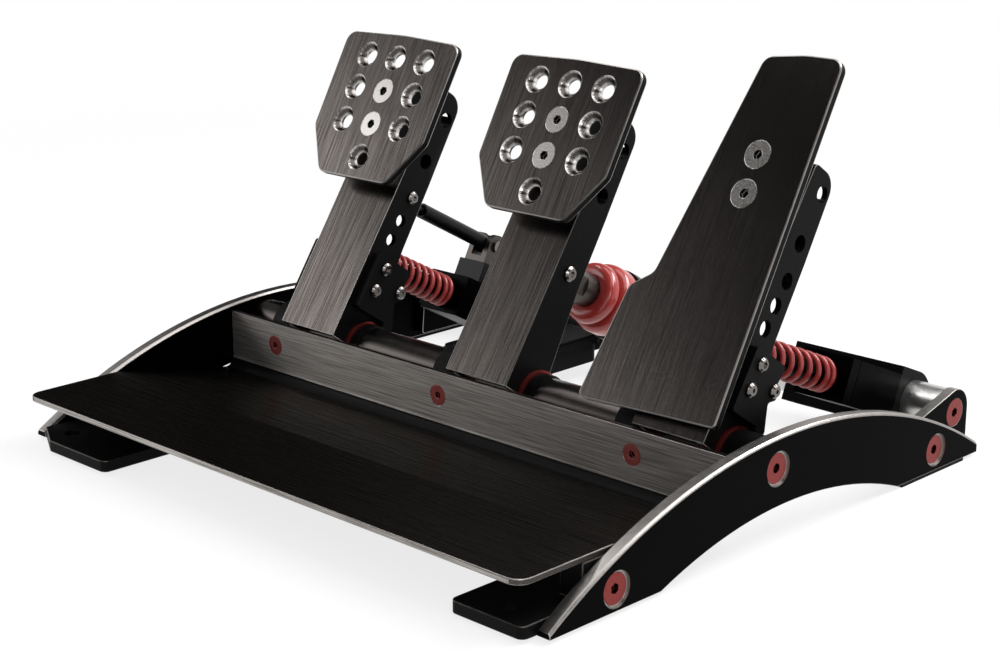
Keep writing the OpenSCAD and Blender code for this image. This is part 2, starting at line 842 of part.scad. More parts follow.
module gas_plate() {
    color("#1f1f20") translate([pedal_x[2], 0, 0]) difference() {
        pad_plate(gas_front) gas_outline();
        pad_screw_place(gas_front)
            countersunk_cut(pad_screw_d, pad_screw_head_d, pad_t + over);
    }
}
module pad_bracket(x, front) {
    back = front - pad_t - fit;
    translate([x, 0, 0]) difference() {
        at_axle(pad_lean) along_x(-wedge_w / 2, wedge_w / 2) polygon([
            [-back, wedge_low],
            [-back, wedge_high],
            [-arm_face(wedge_high) - fit, wedge_high],
            [-arm_face(wedge_low) - fit, wedge_low]
        ]);
        pad_screw_place(front) cylinder(d = pad_screw_d + 2 * fit, h = pad_screw_l + over);
    }
}
module clutch_pad_bracket() {
    color("#121213") pad_bracket(pedal_x[0], pad_front);
}
module brake_pad_bracket() {
    color("#121213") pad_bracket(pedal_x[1], pad_front);
}
module gas_pad_bracket() {
    color("#121213") pad_bracket(pedal_x[2], gas_front);
}
module pad_screws(x, front) {
    color("#c4c4c4") translate([x, 0, 0])
        pad_screw_place(front) countersunk(pad_screw_d, pad_screw_head_d, pad_screw_l);
}
module clutch_pad_screws() {
    pad_screws(pedal_x[0], pad_front);
}
module brake_pad_screws() {
    pad_screws(pedal_x[1], pad_front);
}
module gas_pad_screws() {
    pad_screws(pedal_x[2], gas_front);
}

// Spring brackets: a cheek plate on each flange, tied behind the arm
cheek_t = 6;
bracket_screw_d = 4;
bracket_screw_u = 31.4;
bracket_screw_v = 15;
tie_u = 38;
tie_v = -4;
cheek_in = arm_w / 2 + fit;
cheek_out = cheek_in + cheek_t;
screw_head_h = 2.2;
small_head_d = 7.6;

module cheek_outline() {
    low = hub_r + 1.2;
    foot = low - 7;
    polygon(rounded([
        [-22.5, low], [-22.5, 52.5], [6.2, 52], [4.6, 41.5], [8.4, 39.5],
        [8.4, 34.5], [3, 31], [9.6, low], [9.6, foot], [2, foot], [1.5, low]
    ], [2, 2, 2, 1, 2, 2, 2, 0, 0, 0, 0]));
}
module spring_brackets(i) {
    color("#121213") translate([pedal_x[i], 0, 0]) at_axle(arm_lean) difference() {
        union() {
            along_x(cheek_in, cheek_out) cheek_outline();
            along_x(-cheek_out, -cheek_in) cheek_outline();
        }
        rod_x(-arm_w, 0, support_ring_d + 2 * run_gap);
        rod_x(0, side_face, bush_flange_d + 2 * run_gap);
        rod_x(0, arm_w, collar_d + 2 * run_gap);
        arm_hole(spring_pin_u, spring_pin_v, pin_d + 2 * fit);
        arm_hole(bracket_screw_u, bracket_screw_v, bracket_screw_d + 2 * fit);
        arm_hole(tie_u, tie_v, bracket_screw_d + 2 * fit);
    }
}
module clutch_spring_brackets() {
    spring_brackets(0);
}
module gas_spring_brackets() {
    spring_brackets(2);
}
module cross_bolt(u, v, d, head_d, right, left) {
    translate([right, -v, u]) rotate([0, -90, 0]) button_screw(d, head_d, screw_head_h, right - left);
}
module bracket_screws(i) {
    short_l = cheek_out - arm_w / 2 + arm_t;
    color("#8a8a8d") translate([pedal_x[i], 0, 0]) at_axle(arm_lean) {
        cross_bolt(tie_u, tie_v, bracket_screw_d, small_head_d, cheek_out, -cheek_out);
        for (side = [0, 1]) mirror([side, 0, 0])
            cross_bolt(
                bracket_screw_u, bracket_screw_v, bracket_screw_d, small_head_d,
                cheek_out, cheek_out - short_l);
    }
}
module clutch_bracket_screws() {
    bracket_screws(0);
}
module gas_bracket_screws() {
    bracket_screws(2);
}
module clutch_spring_pin() {
    color("#8a8a8d") translate([pedal_x[0], 0, 0]) at_axle(arm_lean)
        cross_bolt(spring_pin_u, spring_pin_v, pin_d, small_head_d, cheek_out, -cheek_out);
}
module gas_spring_pin() {
    color("#8a8a8d") translate([pedal_x[2], 0, 0]) at_axle(arm_lean)
        cross_bolt(spring_pin_u, spring_pin_v, pin_d, small_head_d, cheek_out, -cheek_out);
}
module brake_pin_bolt() {
    color("#8a8a8d") translate([pedal_x[1], 0, 0]) at_axle(arm_lean)
        cross_bolt(brake_pin_u, spring_pin_v, pin_d, small_head_d + 1, arm_w / 2, -arm_w / 2);
}
module damper_bolt() {
    color("#8a8a8d") translate([pedal_x[0], 0, 0]) at_axle(arm_lean)
        cross_bolt(damper_u, damper_v, damper_bolt_d, small_head_d, arm_w / 2, -arm_w / 2);
}

// Rear blocks: a flat front for the unit and a round clamp on the tube
module rear_block(x, slope) {
    right = x + block_right;
    left = right - block_w;
    color("#151516") difference() {
        at_point(tube, slope) union() {
            translate([left, -block_front, -block_h / 2]) cube([block_w, block_front, block_h]);
            rod_x(left, right, block_h);
        }
        translate([0, tube_y, tube_z]) rod_x(left - over, right + over, tube_d + 2 * fit);
    }
}
module clutch_rear_block() {
    rear_block(pedal_x[0], unit_slope[0]);
}
module brake_rear_block() {
    rear_block(pedal_x[1], brake_drop);
}
module gas_rear_block() {
    rear_block(pedal_x[2], unit_slope[2]);
}

// Spring units: rod hinged on the arm, coil spring, guide tube and square body
pin_fit = 0.05;
rod_play = 1;
rod_eye_d = 16;
rod_eye_w = 20;
spring_cup_d = spring_d + 2;
spring_cup_h = 3;
seat_gap = 0.3;
end_wall = 4;
end_room = 4;
seam_w = 0.6;
seam_at = 7.5;
unit_back = [for (slope = unit_slope) spring_reach * cos(slope - spring_drop) - block_front];
spring_stroke = reach(spring_pin, [axle_y, axle_z]) * pedal_travel * PI / 180;
guide_start = spring_start + spring_stroke + end_room;

module at_unit(i) {
    translate([pedal_x[i], 0, 0]) at_point(spring_pin, unit_slope[i]) children();
}
module on_spring_axis() {
    translate([0, 0, spring_rise]) children();
}
module spring_rod(i) {
    rod_l = unit_back[i] - end_wall - spring_stroke - end_room;
    color("#2a2a2c") at_unit(i) difference() {
        union() {
            rod_x(-rod_eye_w / 2, rod_eye_w / 2, rod_eye_d);
            on_spring_axis() {
                rod_y(0, rod_l, rod_d);
                rod_y(spring_start - spring_cup_h, spring_start, spring_cup_d);
                rod_y(spring_start - spring_cup_h - 4, spring_start, guide_d);
            }
        }
        rod_x(-rod_eye_w, rod_eye_w, pin_d + 2 * pin_fit);
    }
}
module clutch_spring_rod() {
    spring_rod(0);
}
module gas_spring_rod() {
    spring_rod(2);
}
module body_bar(from, to, ease) {
    translate([ease - body_w / 2, from, ease - body_h / 2])
        cube([body_w - 2 * ease, to - from, body_h - 2 * ease]);
}
module spring_body(i) {
    front = spring_end[i];
    color("#101011") at_unit(i) on_spring_axis() difference() {
        union() {
            body_bar(front, front + seam_at, 0);
            body_bar(front + seam_at, front + seam_at + seam_w, seam_w);
            body_bar(front + seam_at + seam_w, unit_back[i] - fit, 0);
            rod_y(guide_start, front + over, guide_d);
        }
        rod_y(guide_start - over, unit_back[i] - end_wall, rod_d + 2 * rod_play);
    }
}
module clutch_spring_body() {
    spring_body(0);
}
module gas_spring_body() {
    spring_body(2);
}

// A coil spring as one tube along a helix, with straight ends
coil_rings = 8;
coil_sides = 6;
coil_r = (spring_d - wire_d) / 2;
coil_from = spring_start + seat_gap + wire_d / 2;
coil_count = spring_turns * coil_rings;

function coil_pitch(i) = (spring_end[i] - seat_gap - wire_d / 2 - coil_from) / spring_turns;
function coil_angle(k) = 360 * k / coil_rings;
function coil_out(k) = [cos(coil_angle(k)), 0, sin(coil_angle(k))];
function coil_run(k, pitch) = unit([
    -2 * PI * coil_r * sin(coil_angle(k)), pitch, 2 * PI * coil_r * cos(coil_angle(k))]);
function coil_mid(k, pitch) = coil_r * coil_out(k) + [0, coil_from + pitch * k / coil_rings, 0];
function coil_ring(k, pitch, shift) = [
    for (j = [0:coil_sides - 1])
        let (t = 360 * j / coil_sides)
        coil_mid(k, pitch) + coil_run(k, pitch) * shift
            + wire_d / 2 * (cos(t) * coil_out(k) + sin(t) * cross(coil_run(k, pitch), coil_out(k)))];
function coil_points(pitch) = concat(
    coil_ring(0, pitch, -wire_d),
    [for (k = [0:coil_count]) each coil_ring(k, pitch, 0)],
    coil_ring(coil_count, pitch, wire_d)
);
coil_last = (coil_count + 2) * coil_sides;
coil_faces = concat(
    [for (j = [1:coil_sides - 2]) [0, j, j + 1]],
    [for (k = [0:coil_count + 1]) for (j = [0:coil_sides - 1])
        let (
            a = k * coil_sides + j,
            b = k * coil_sides + (j + 1) % coil_sides
        )
        each [[a, a + coil_sides, b], [b, a + coil_sides, b + coil_sides]]],
    [for (j = [1:coil_sides - 2]) [coil_last, coil_last + j + 1, coil_last + j]]
);
function coil_gap(pitch) = min([
    for (k = [0:coil_count - coil_rings])
        for (m = [coil_rings - 2:coil_rings + 2])
            if (k + m <= coil_count) norm(coil_mid(k, pitch) - coil_mid(k + m, pitch))]) - wire_d;
echo(str("least gap between the curls of the springs, mm: ",
    coil_gap(coil_pitch(0)), " and ", coil_gap(coil_pitch(2))));

module coil_spring(i) {
    color("#c0302f") at_unit(i) on_spring_axis()
        polyhedron(points = coil_points(coil_pitch(i)), faces = coil_faces, convexity = 10);
}
module clutch_spring() {
    coil_spring(0);
}
module gas_spring() {
    coil_spring(2);
}

// Brake unit: rod, cup, elastomer bushes and load cell housing
brake_play = 0.8;
flat_depth = 1.6;
flat_l = 7;
stack_bore_d = brake_rod_d + 2 * brake_play;
ring_start = stack_start + bush_l + seat;
cell_start = ring_start + ring_l + seat_gap;
cell_back = brake_reach - block_front;
brake_stroke = reach(brake_pin, [axle_y, axle_z]) * brake_travel * PI / 180;
brake_rod_l = cell_back - end_wall - brake_stroke - end_room;

module at_brake() {
    translate([pedal_x[1], 0, 0]) at_point(brake_pin, brake_drop) children();
}
module brake_rod() {
    color("#b9b9bb") at_brake() difference() {
        union() {
            rod_x(-rod_eye_w / 2, rod_eye_w / 2, rod_eye_d);
            rod_y(0, brake_rod_l, brake_rod_d);
        }
        rod_x(-rod_eye_w, rod_eye_w, pin_d + 2 * pin_fit);
    }
}
module brake_cup() {
    cup_back = stack_start - seat;
    color("#7d7d80") at_brake() difference() {
        union() {
            rod_y(cup_back - cup_l, cup_back, cup_d);
            translate([0, cup_back - cup_l - 3, 0]) rotate([-90, 0, 0])
                cylinder(d1 = cup_d - 6, d2 = cup_d, h = 3);
        }
        rod_y(0, stack_start + over, brake_rod_d + 2 * fit);
        for (side = [0, 1]) mirror([side, 0, 0])
            translate([cup_d / 2 - flat_depth, cup_back - cup_l + 2, -cup_d])
                cube([cup_d, flat_l, 2 * cup_d]);
    }
}
// A bush with bulging sides, turned about its axis
module bulged_bush(start, l, d, bulge) {
    translate([0, start, 0]) rotate([-90, 0, 0]) difference() {
        union() {
            cylinder(d = d - 2 * bulge, h = l);
            translate([0, 0, bulge]) cylinder(d = d, h = l - 2 * bulge);
            for (z = [bulge, l - bulge])
                translate([0, 0, z]) rotate_extrude()
                    translate([d / 2 - bulge, 0]) circle(r = bulge, $fn = 32);
        }
        translate([0, 0, -over]) cylinder(d = stack_bore_d, h = l + 2 * over);
    }
}
module brake_elastomers() {
    color("#c23a36") at_brake() {
        bulged_bush(stack_start, bush_l, bush_d, 0.42 * bush_l);
        bulged_bush(ring_start, ring_l, ring_d, 0.3 * ring_l);
    }
}
module load_cell_housing() {
    rim_l = 6;
    color("#101011") at_brake() difference() {
        union() {
            rod_y(cell_start, cell_start + rim_l, cell_d);
            rod_y(cell_start, cell_back - fit, cell_d - 6);
        }
        rod_y(cell_start - over, cell_back - end_wall, stack_bore_d);
    }
}

// Clutch damper: telescopic strut from the arm to a clevis on the spring body
damper_eye_d = 13;
damper_eye_w = 12;
damper_tail_d = 12;
damper_tail_w = 8;
damper_play = 1.2;
damper_block_w = 22;
damper_block_l = 30;
damper_block_at = clutch_spring_end + 14.5;
damper_block_top = clevis_rise - 13;
ear_t = 4;
ear_gap = 0.4;
ear_d = 14;
clevis_base_t = 4;

module at_damper() {
    translate([pedal_x[0], 0, 0]) at_point(damper_pin, damper_drop) children();
}
module damper_block() {
    low = body_h / 2 + fit;
    color("#5a5a5c") at_unit(0) on_spring_axis()
        translate([-damper_block_w / 2, damper_block_at, low])
            cube([damper_block_w, damper_block_l, damper_block_top - low]);
}
module damper_clevis() {
    half = damper_tail_w / 2 + ear_gap;
    low = damper_block_top + fit;
    color("#cfcfd1") at_unit(0) on_spring_axis() translate([0, clevis_w, 0]) difference() {
        union() {
            translate([-half - ear_t, -ear_d / 2, low]) cube([2 * (half + ear_t), 20, clevis_base_t]);
            for (side = [0, 1]) mirror([side, 0, 0]) {
                translate([half, -ear_d / 2, low]) cube([ear_t, ear_d, clevis_rise - low]);
                translate([0, 0, clevis_rise]) rod_x(half, half + ear_t, ear_d);
            }
        }
        translate([0, 0, clevis_rise]) rod_x(-20, 20, clevis_pin_d + 2 * fit);
    }
}
module clevis_pin() {
    half = damper_tail_w / 2 + ear_gap + ear_t;
    color("#d8d8da") at_unit(0) on_spring_axis() translate([0, clevis_w, clevis_rise]) {
        rod_x(-half - 1, half, clevis_pin_d);
        rod_x(half, half + 2, clevis_pin_d + 3);
    }
}
module damper_body() {
    color("#0f0f10") at_damper() difference() {
        union() {
            rod_y(damper_front, damper_reach - 2, damper_d);
            translate([0, damper_reach, 0]) rod_x(-damper_tail_w / 2, damper_tail_w / 2, damper_tail_d);
        }
        rod_y(0, damper_reach - damper_tail_d / 2 - 2, damper_rod_d + 2 * damper_play);
        translate([0, damper_reach, 0]) {
            rod_x(-damper_tail_w, damper_tail_w, clevis_pin_d + 2 * pin_fit);
            for (side = [0, 1]) mirror([side, 0, 0])
                translate([damper_tail_w / 2, -ear_d / 2 - 1, -20]) cube([10, 40, 40]);
        }
    }
}
module damper_rod() {
    color("#1a1a1b") at_damper() difference() {
        union() {
            rod_x(-damper_eye_w / 2, damper_eye_w / 2, damper_eye_d);
            rod_y(0, damper_rod_l, damper_rod_d);
        }
        rod_x(-damper_eye_w, damper_eye_w, damper_bolt_d + 2 * pin_fit);
    }
}

// Control box: a tray that clips onto the rear tube, and its cover
box_r = 6;
box_from = pedal_x[0] + block_right + box_gap;
box_to = pedal_x[1] + block_right - block_w - box_gap;
box_w = box_to - box_from;
box_back = tube_y - tube_d / 2 - 7;
box_low = 8;
box_lip = 2;
box_wall = 2.5;
clip_t = 3;
clip_w = 10;

module box_outline(ease) {
    half = box_w / 2 - ease;
    front = box_back - box_l + ease;
    polygon(rounded([
        [-half, front], [half, front], [half, box_back - ease], [-half, box_back - ease]
    ], [box_r, box_r, box_r, box_r]));
}
module at_box() {
    translate([(box_from + box_to) / 2, 0, box_low]) children();
}
module control_box() {
    clip_d = tube_d + 2 * clip_t;
    tray_h = box_h - cover_t;
    color("#0d0d0e") at_box() difference() {
        union() {
            linear_extrude(tray_h) box_outline(box_lip);
            translate([0, 0, tray_h - box_lip]) linear_extrude(box_lip) box_outline(0);
            translate([0, tube_y, tube_z - box_low])
                for (side = [-1, 1])
                    rod_x(side * (box_w / 2 - box_r - clip_w / 2) - clip_w / 2,
                        side * (box_w / 2 - box_r - clip_w / 2) + clip_w / 2, clip_d);
            for (side = [-1, 1])
                translate([side * (box_w / 2 - box_r - clip_w / 2) - clip_w / 2, box_back - box_r, 5])
                    cube([clip_w, tube_y - box_back + box_r, 8]);
        }
        translate([0, 0, box_wall]) linear_extrude(box_h) box_outline(box_lip + box_wall);
        translate([0, tube_y, tube_z - box_low]) rod_x(-box_w, box_w, tube_d + 2 * fit);
    }
}
module control_box_cover() {
    from = box_h - cover_t + fit;
    color("#111112") at_box() {
        translate([0, 0, from]) linear_extrude(cover_t / 2) box_outline(0);
        translate([0, 0, from + cover_t / 2]) linear_extrude(cover_t / 2) box_outline(box_lip / 2);
    }
}

seated() side_plate_left();
seated() side_plate_right();
seated() heel_plate();
seated() front_foot_left();
seated() front_foot_right();
seated() rubber_pads();
seated() side_screws();
seated() bar_screws();
seated() pedal_axle();
seated() clutch_axle_support();
seated() brake_axle_support();
seated() gas_axle_support();
seated() axle_collars();
seated() rear_tube();
seated() rear_bracket_left();
seated() rear_bracket_right();
seated() rear_tube_screws();
seated() clutch_rear_block();
seated() brake_rear_block();
seated() gas_rear_block();
seated() clutch_spring_body();
seated() gas_spring_body();
seated() load_cell_housing();
seated() damper_block();
seated() damper_clevis();
seated() clevis_pin();
seated() control_box();
seated() control_box_cover();
seated() clutch_arm();
seated() clutch_pad();
seated() clutch_pad_bracket();
seated() clutch_pad_screws();
seated() clutch_axle_bushes();
seated() clutch_spring_brackets();
seated() clutch_bracket_screws();
seated() clutch_spring_pin();
seated() damper_bolt();
seated() brake_arm();
seated() brake_pad();
seated() brake_pad_bracket();
seated() brake_pad_screws();
seated() brake_axle_bushes();
seated() brake_pin_bolt();
seated() gas_arm();
seated() gas_plate();
seated() gas_pad_bracket();
seated() gas_pad_screws();
seated() gas_axle_bushes();
seated() gas_spring_brackets();
seated() gas_bracket_screws();
seated() gas_spring_pin();
seated() clutch_spring_rod();
seated() clutch_spring();
seated() gas_spring_rod();
seated() gas_spring();
seated() brake_rod();
seated() brake_cup();
seated() brake_elastomers();
seated() damper_rod();
seated() damper_body();
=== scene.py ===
# %% [markdown]
# # Sim racing pedal set
# Three pedals hang on one axle between two arched side plates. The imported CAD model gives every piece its
# shape, place and motion. This lesson dresses it: brushed black anodised aluminium with bright edges, red
# anodised screws, wound red springs and cast polyurethane bushes.

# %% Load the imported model
import json
import math
import bmesh
import bpy
from mathutils import Matrix, Vector

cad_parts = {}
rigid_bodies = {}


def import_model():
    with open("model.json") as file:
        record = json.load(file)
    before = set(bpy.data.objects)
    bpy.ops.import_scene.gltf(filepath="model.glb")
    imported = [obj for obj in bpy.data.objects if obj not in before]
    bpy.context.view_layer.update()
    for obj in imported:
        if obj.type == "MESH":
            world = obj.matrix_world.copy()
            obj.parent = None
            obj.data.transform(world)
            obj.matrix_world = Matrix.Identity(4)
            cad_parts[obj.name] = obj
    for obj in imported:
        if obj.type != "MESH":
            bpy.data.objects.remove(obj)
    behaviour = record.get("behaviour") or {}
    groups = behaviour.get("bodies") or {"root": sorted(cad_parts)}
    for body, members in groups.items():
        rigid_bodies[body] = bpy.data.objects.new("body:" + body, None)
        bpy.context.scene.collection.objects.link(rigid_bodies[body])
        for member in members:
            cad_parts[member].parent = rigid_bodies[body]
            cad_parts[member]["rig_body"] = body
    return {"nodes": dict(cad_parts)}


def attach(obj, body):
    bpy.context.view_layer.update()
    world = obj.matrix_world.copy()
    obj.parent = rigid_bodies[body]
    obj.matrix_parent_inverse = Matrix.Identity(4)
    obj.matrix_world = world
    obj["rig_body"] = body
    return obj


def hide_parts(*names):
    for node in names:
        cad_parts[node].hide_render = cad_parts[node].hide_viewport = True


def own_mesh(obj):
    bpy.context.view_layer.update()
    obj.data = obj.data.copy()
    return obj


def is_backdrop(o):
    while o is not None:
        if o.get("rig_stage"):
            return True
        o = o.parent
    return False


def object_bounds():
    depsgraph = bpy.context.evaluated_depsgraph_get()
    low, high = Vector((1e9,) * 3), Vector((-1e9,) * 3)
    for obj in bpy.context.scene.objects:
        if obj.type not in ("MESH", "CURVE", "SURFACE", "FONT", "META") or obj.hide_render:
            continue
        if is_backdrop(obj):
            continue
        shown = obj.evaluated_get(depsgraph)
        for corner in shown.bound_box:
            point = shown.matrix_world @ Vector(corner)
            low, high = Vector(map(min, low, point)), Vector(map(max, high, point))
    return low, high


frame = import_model()
cad_low, cad_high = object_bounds()
nodes = frame["nodes"]
print(len(nodes), "pieces from the model")
print("cad box", [round(v, 4) for v in cad_low], [round(v, 4) for v in cad_high])

# %% [markdown]
# ## The camera
# The photograph was taken from the front right, a little above the pedals. The place and the lens come from
# points that can be named in the picture: ends of the side plates, screw heads and pad corners.

# %% Camera
azimuth = math.radians(44.394)
elevation = math.radians(16.024)
roll = math.radians(0.065)
stand = Vector((0.75067, -0.76427, 0.37485))
flat = math.cos(elevation)
back = Vector((math.sin(azimuth) * flat, -math.cos(azimuth) * flat, math.sin(elevation)))
right = Vector((math.cos(azimuth), math.sin(azimuth), 0))
turned = Matrix((right, back.cross(right), back)).transposed() @ Matrix.Rotation(-roll, 3, "Z")

lens = bpy.data.cameras.new("photo_lens")
lens.lens = 72.432
lens.sensor_width = 36
camera = bpy.data.objects.new("photo_camera", lens)
camera.matrix_world = Matrix.Translation(stand) @ turned.to_4x4()
bpy.context.scene.collection.objects.link(camera)
bpy.context.scene.camera = camera
print("camera at", [round(v, 3) for v in camera.location])

# %% [markdown]
# ## Helpers for materials
# A finish is a small tree of nodes. One function adds a node, with its settings and what goes into it, one
# turns the hex values of a colour picker into the linear numbers that the renderer works with, and one
# starts a new material.

# %% Helpers
def linear(code):
    parts = [int(code[i:i + 2], 16) / 255 for i in (1, 3, 5)]
    return tuple(c / 12.92 if c <= 0.04045 else ((c + 0.055) / 1.055) ** 2.4 for c in parts) + (1.0,)


def add(tree, kind, inputs=None, **settings):
    node = tree.nodes.new(kind)
    for name, value in settings.items():
        setattr(node, name, value)
    for key, value in (inputs or {}).items():
        if isinstance(value, bpy.types.NodeSocket):
            tree.links.new(value, node.inputs[key])
        else:
            node.inputs[key].default_value = value
    return node


def start(name, **sockets):
    finish = bpy.data.materials.new(name)
    finish.use_nodes = True
    shader = finish.node_tree.nodes["Principled BSDF"]
    for key, value in sockets.items():
        shader.inputs[key.replace("_", " ")].default_value = value
    return finish, finish.node_tree, shader


print("helpers ready")

# %% [markdown]
# ## Brushed black anodised aluminium
# The pads, arms and heel plate were brushed with an abrasive belt and then anodised black. The brushing
# leaves fine parallel scratches, so the sheet looks like dark hair with lighter and darker strands. Noise
# that is stretched along the belt's direction gives those strands. The Mapping node first turns the pattern
# to the way the sheet was brushed and then stretches it. Real scratches are near 0.05 mm wide, too fine to
# show, so they are drawn about seven times as wide.
#
# Scratches also stretch a reflection across their own direction. The Tangent input gets the direction of
# the brushing, and Anisotropic says how far the reflection is drawn out. The upright bar of the heel plate
# has the longest reflection, and its colour is painted much paler than the floor of the same sheet: a
# painted highlight where the bar faces the light.

# %% Brushed finish
STRAND_W = 0.00035
STRAND_L = 0.04
GROOVE_DEEP = 0.0001
ACROSS_GRAIN = 0.25
DARK_RIM = (0.4, 0.4, 0.4, 1.0)
ARM_LEAN = 33.7
PAD_LEAN = 29.6


def brushed_black(name, lean, along, pale, deep, stretch, rough_low, rough_high, metallic=1.0):
    finish, tree, shader = start(name, Metallic=metallic, Anisotropic=stretch,
                                 Anisotropic_Rotation=ACROSS_GRAIN, Specular_Tint=DARK_RIM)
    tilt = math.radians(lean)
    if along == "X":
        grain = (1.0, 0.0, 0.0)
        size = (STRAND_L, STRAND_W, STRAND_W)
    else:
        grain = (0.0, math.sin(tilt), math.cos(tilt))
        size = (STRAND_W, STRAND_W, STRAND_L)
    place = add(tree, "ShaderNodeTexCoord")
    lay = add(tree, "ShaderNodeMapping", {
        "Vector": place.outputs["Object"], "Rotation": (-tilt, 0, 0), "Scale": size,
    }, vector_type="TEXTURE")
    strands = add(tree, "ShaderNodeTexNoise", {
        "Vector": lay.outputs["Vector"], "Scale": 1.0, "Detail": 3.0, "Roughness": 0.65,
    }).outputs["Fac"]
    level = add(tree, "ShaderNodeMapRange", {"Value": strands, "From Min": 0.38, "From Max": 0.62})
    tint = add(tree, "ShaderNodeMix", {
        "Factor": level.outputs["Result"], "A": linear(deep), "B": linear(pale),
    }, data_type="RGBA")
    gloss = add(tree, "ShaderNodeMapRange", {
        "Value": strands, "From Min": 0.3, "From Max": 0.7, "To Min": rough_high, "To Max": rough_low,
    })
    grooves = add(tree, "ShaderNodeBump", {"Height": strands, "Strength": 0.35, "Distance": GROOVE_DEEP})
    way = add(tree, "ShaderNodeCombineXYZ", {"X": grain[0], "Y": grain[1], "Z": grain[2]})
    tree.links.new(tint.outputs["Result"], shader.inputs["Base Color"])
    tree.links.new(gloss.outputs["Result"], shader.inputs["Roughness"])
    tree.links.new(grooves.outputs["Normal"], shader.inputs["Normal"])
    tree.links.new(way.outputs["Vector"], shader.inputs["Tangent"])
    return finish


brushed_sheet = brushed_black("black_anodised_brushed_across", 0, "X",
                              "#5c5855", "#2b2927", 0.8, 0.22, 0.34)
# The bar's copy of the sheet is much paler: a painted highlight where the bar faces the light.
bar_painted_highlight = brushed_black("black_anodised_bar_painted_highlight", 0, "X",
                            "#b8b3ae", "#6b6662", 0.88, 0.28, 0.4, 0.72)
brushed_arm = brushed_black("black_anodised_brushed_along_arm", ARM_LEAN, "Z",
                            "#605b58", "#312e2d", 0.35, 0.16, 0.28)
brushed_pad = brushed_black("black_anodised_brushed_along_pad", PAD_LEAN, "Z",
                            "#605b58", "#312e2d", 0.35, 0.16, 0.28)
print("four brushed finishes, strands", STRAND_W * 1000, "mm wide")

# %% [markdown]
# ## Plain black finishes
# The side plates are milled plate, bead blasted before the anodising, so their sheen is even with a very
# fine grain. The brackets, blocks and housings are coated a dull black. The feet stand on rubber.

# %% Black finishes
CLOUD_MM = 40
PALE_RIM = (0.6, 0.6, 0.6, 1.0)


def grained_black(name, pale, deep, grain_mm, rough_low, rough_high, depth_mm, **sockets):
    finish, tree, shader = start(name, **sockets)
    place = add(tree, "ShaderNodeTexCoord").outputs["Object"]
    grain = add(tree, "ShaderNodeTexNoise", {
        "Vector": place, "Scale": 1000 / grain_mm, "Detail": 2.0, "Roughness": 0.6,
    }).outputs["Fac"]
    cloud = add(tree, "ShaderNodeTexNoise", {"Vector": place, "Scale": 1000 / CLOUD_MM, "Detail": 2.0})
    tint = add(tree, "ShaderNodeMix", {
        "Factor": cloud.outputs["Fac"], "A": linear(deep), "B": linear(pale),
    }, data_type="RGBA")
    gloss = add(tree, "ShaderNodeMapRange", {
        "Value": grain, "From Min": 0.3, "From Max": 0.7, "To Min": rough_low, "To Max": rough_high,
    })
    bump = add(tree, "ShaderNodeBump", {"Height": grain, "Strength": 0.3, "Distance": depth_mm / 1000})
    tree.links.new(tint.outputs["Result"], shader.inputs["Base Color"])
    tree.links.new(gloss.outputs["Result"], shader.inputs["Roughness"])
    tree.links.new(bump.outputs["Normal"], shader.inputs["Normal"])
    return finish


blasted_plate = grained_black("black_anodised_blasted", "#0b0b0b", "#070707", 0.9, 0.3, 0.4, 0.02,
                              Metallic=1.0, Specular_Tint=PALE_RIM)
coated_metal = grained_black("black_powder_coat", "#080808", "#050505", 0.8, 0.42, 0.56, 0.04,
                             Specular_IOR_Level=0.07)
satin_metal = grained_black("satin_black_coat", "#080808", "#050505", 0.7, 0.26, 0.38, 0.02,
                            Specular_IOR_Level=0.14)
rubber = grained_black("moulded_black_rubber", "#101010", "#0b0b0b", 1.2, 0.7, 0.85, 0.08,
                       Specular_IOR_Level=0.15)
print("four plain black finishes")

# %% [markdown]
# ## Metals that shine
# Screw heads, rings and tubes were turned on a lathe, so they carry fine rings or a fine even haze. The red
# screws and bush rings are anodised aluminium, the axle is dark polished steel, the rear tube is polished,
# and the screws of the pads are bright zinc. Each has a little uneven haze, as handling leaves.

# %% Bright and red metals
def hazed_metal(name, pale, deep, haze_mm, rough_low, rough_high, metallic=1.0):
    finish, tree, shader = start(name, Metallic=metallic)
    place = add(tree, "ShaderNodeTexCoord")
    haze = add(tree, "ShaderNodeTexNoise", {
        "Vector": place.outputs["Object"], "Scale": 1000 / haze_mm, "Detail": 2.0, "Roughness": 0.5,
    }).outputs["Fac"]
    tint = add(tree, "ShaderNodeMix", {
        "Factor": haze, "A": linear(deep), "B": linear(pale),
    }, data_type="RGBA")
    gloss = add(tree, "ShaderNodeMapRange", {
        "Value": haze, "From Min": 0.3, "From Max": 0.7, "To Min": rough_low, "To Max": rough_high,
    })
    tree.links.new(tint.outputs["Result"], shader.inputs["Base Color"])
    tree.links.new(gloss.outputs["Result"], shader.inputs["Roughness"])
    return finish


red_metal = hazed_metal("red_anodised_satin", "#8a3431", "#742b29", 2.0, 0.28, 0.4, 0.8)
zinc = hazed_metal("bright_zinc_plate", "#b3afac", "#aaa6a3", 1.5, 0.25, 0.29)
dark_steel = hazed_metal("dark_polished_steel", "#464240", "#403c3a", 6.0, 0.22, 0.26)
polished = hazed_metal("polished_steel_tube", "#d6d4d2", "#c2c0be", 6.0, 0.26, 0.36)
machined = hazed_metal("machined_aluminium", "#d4d1ce", "#b4b1ae", 1.0, 0.26, 0.4)
bright_edge = hazed_metal("bright_cut_edge", "#9a9693", "#8c8885", 3.0, 0.3, 0.38)
turned_steel = hazed_metal("turned_grey_steel", "#7d7976", "#625e5b", 1.2, 0.12, 0.24)
# A paler copy of the red anodising for the bar screws: a painted highlight, as they catch light like the
# bar.
red_painted_highlight = hazed_metal("red_anodised_painted_highlight", "#b5625d", "#a3504c", 2.0, 0.3, 0.42, 0.7)
grey_block = hazed_metal("grey_anodised_block", "#5a5653", "#46423f", 1.5, 0.3, 0.42)
print("nine bright finishes")

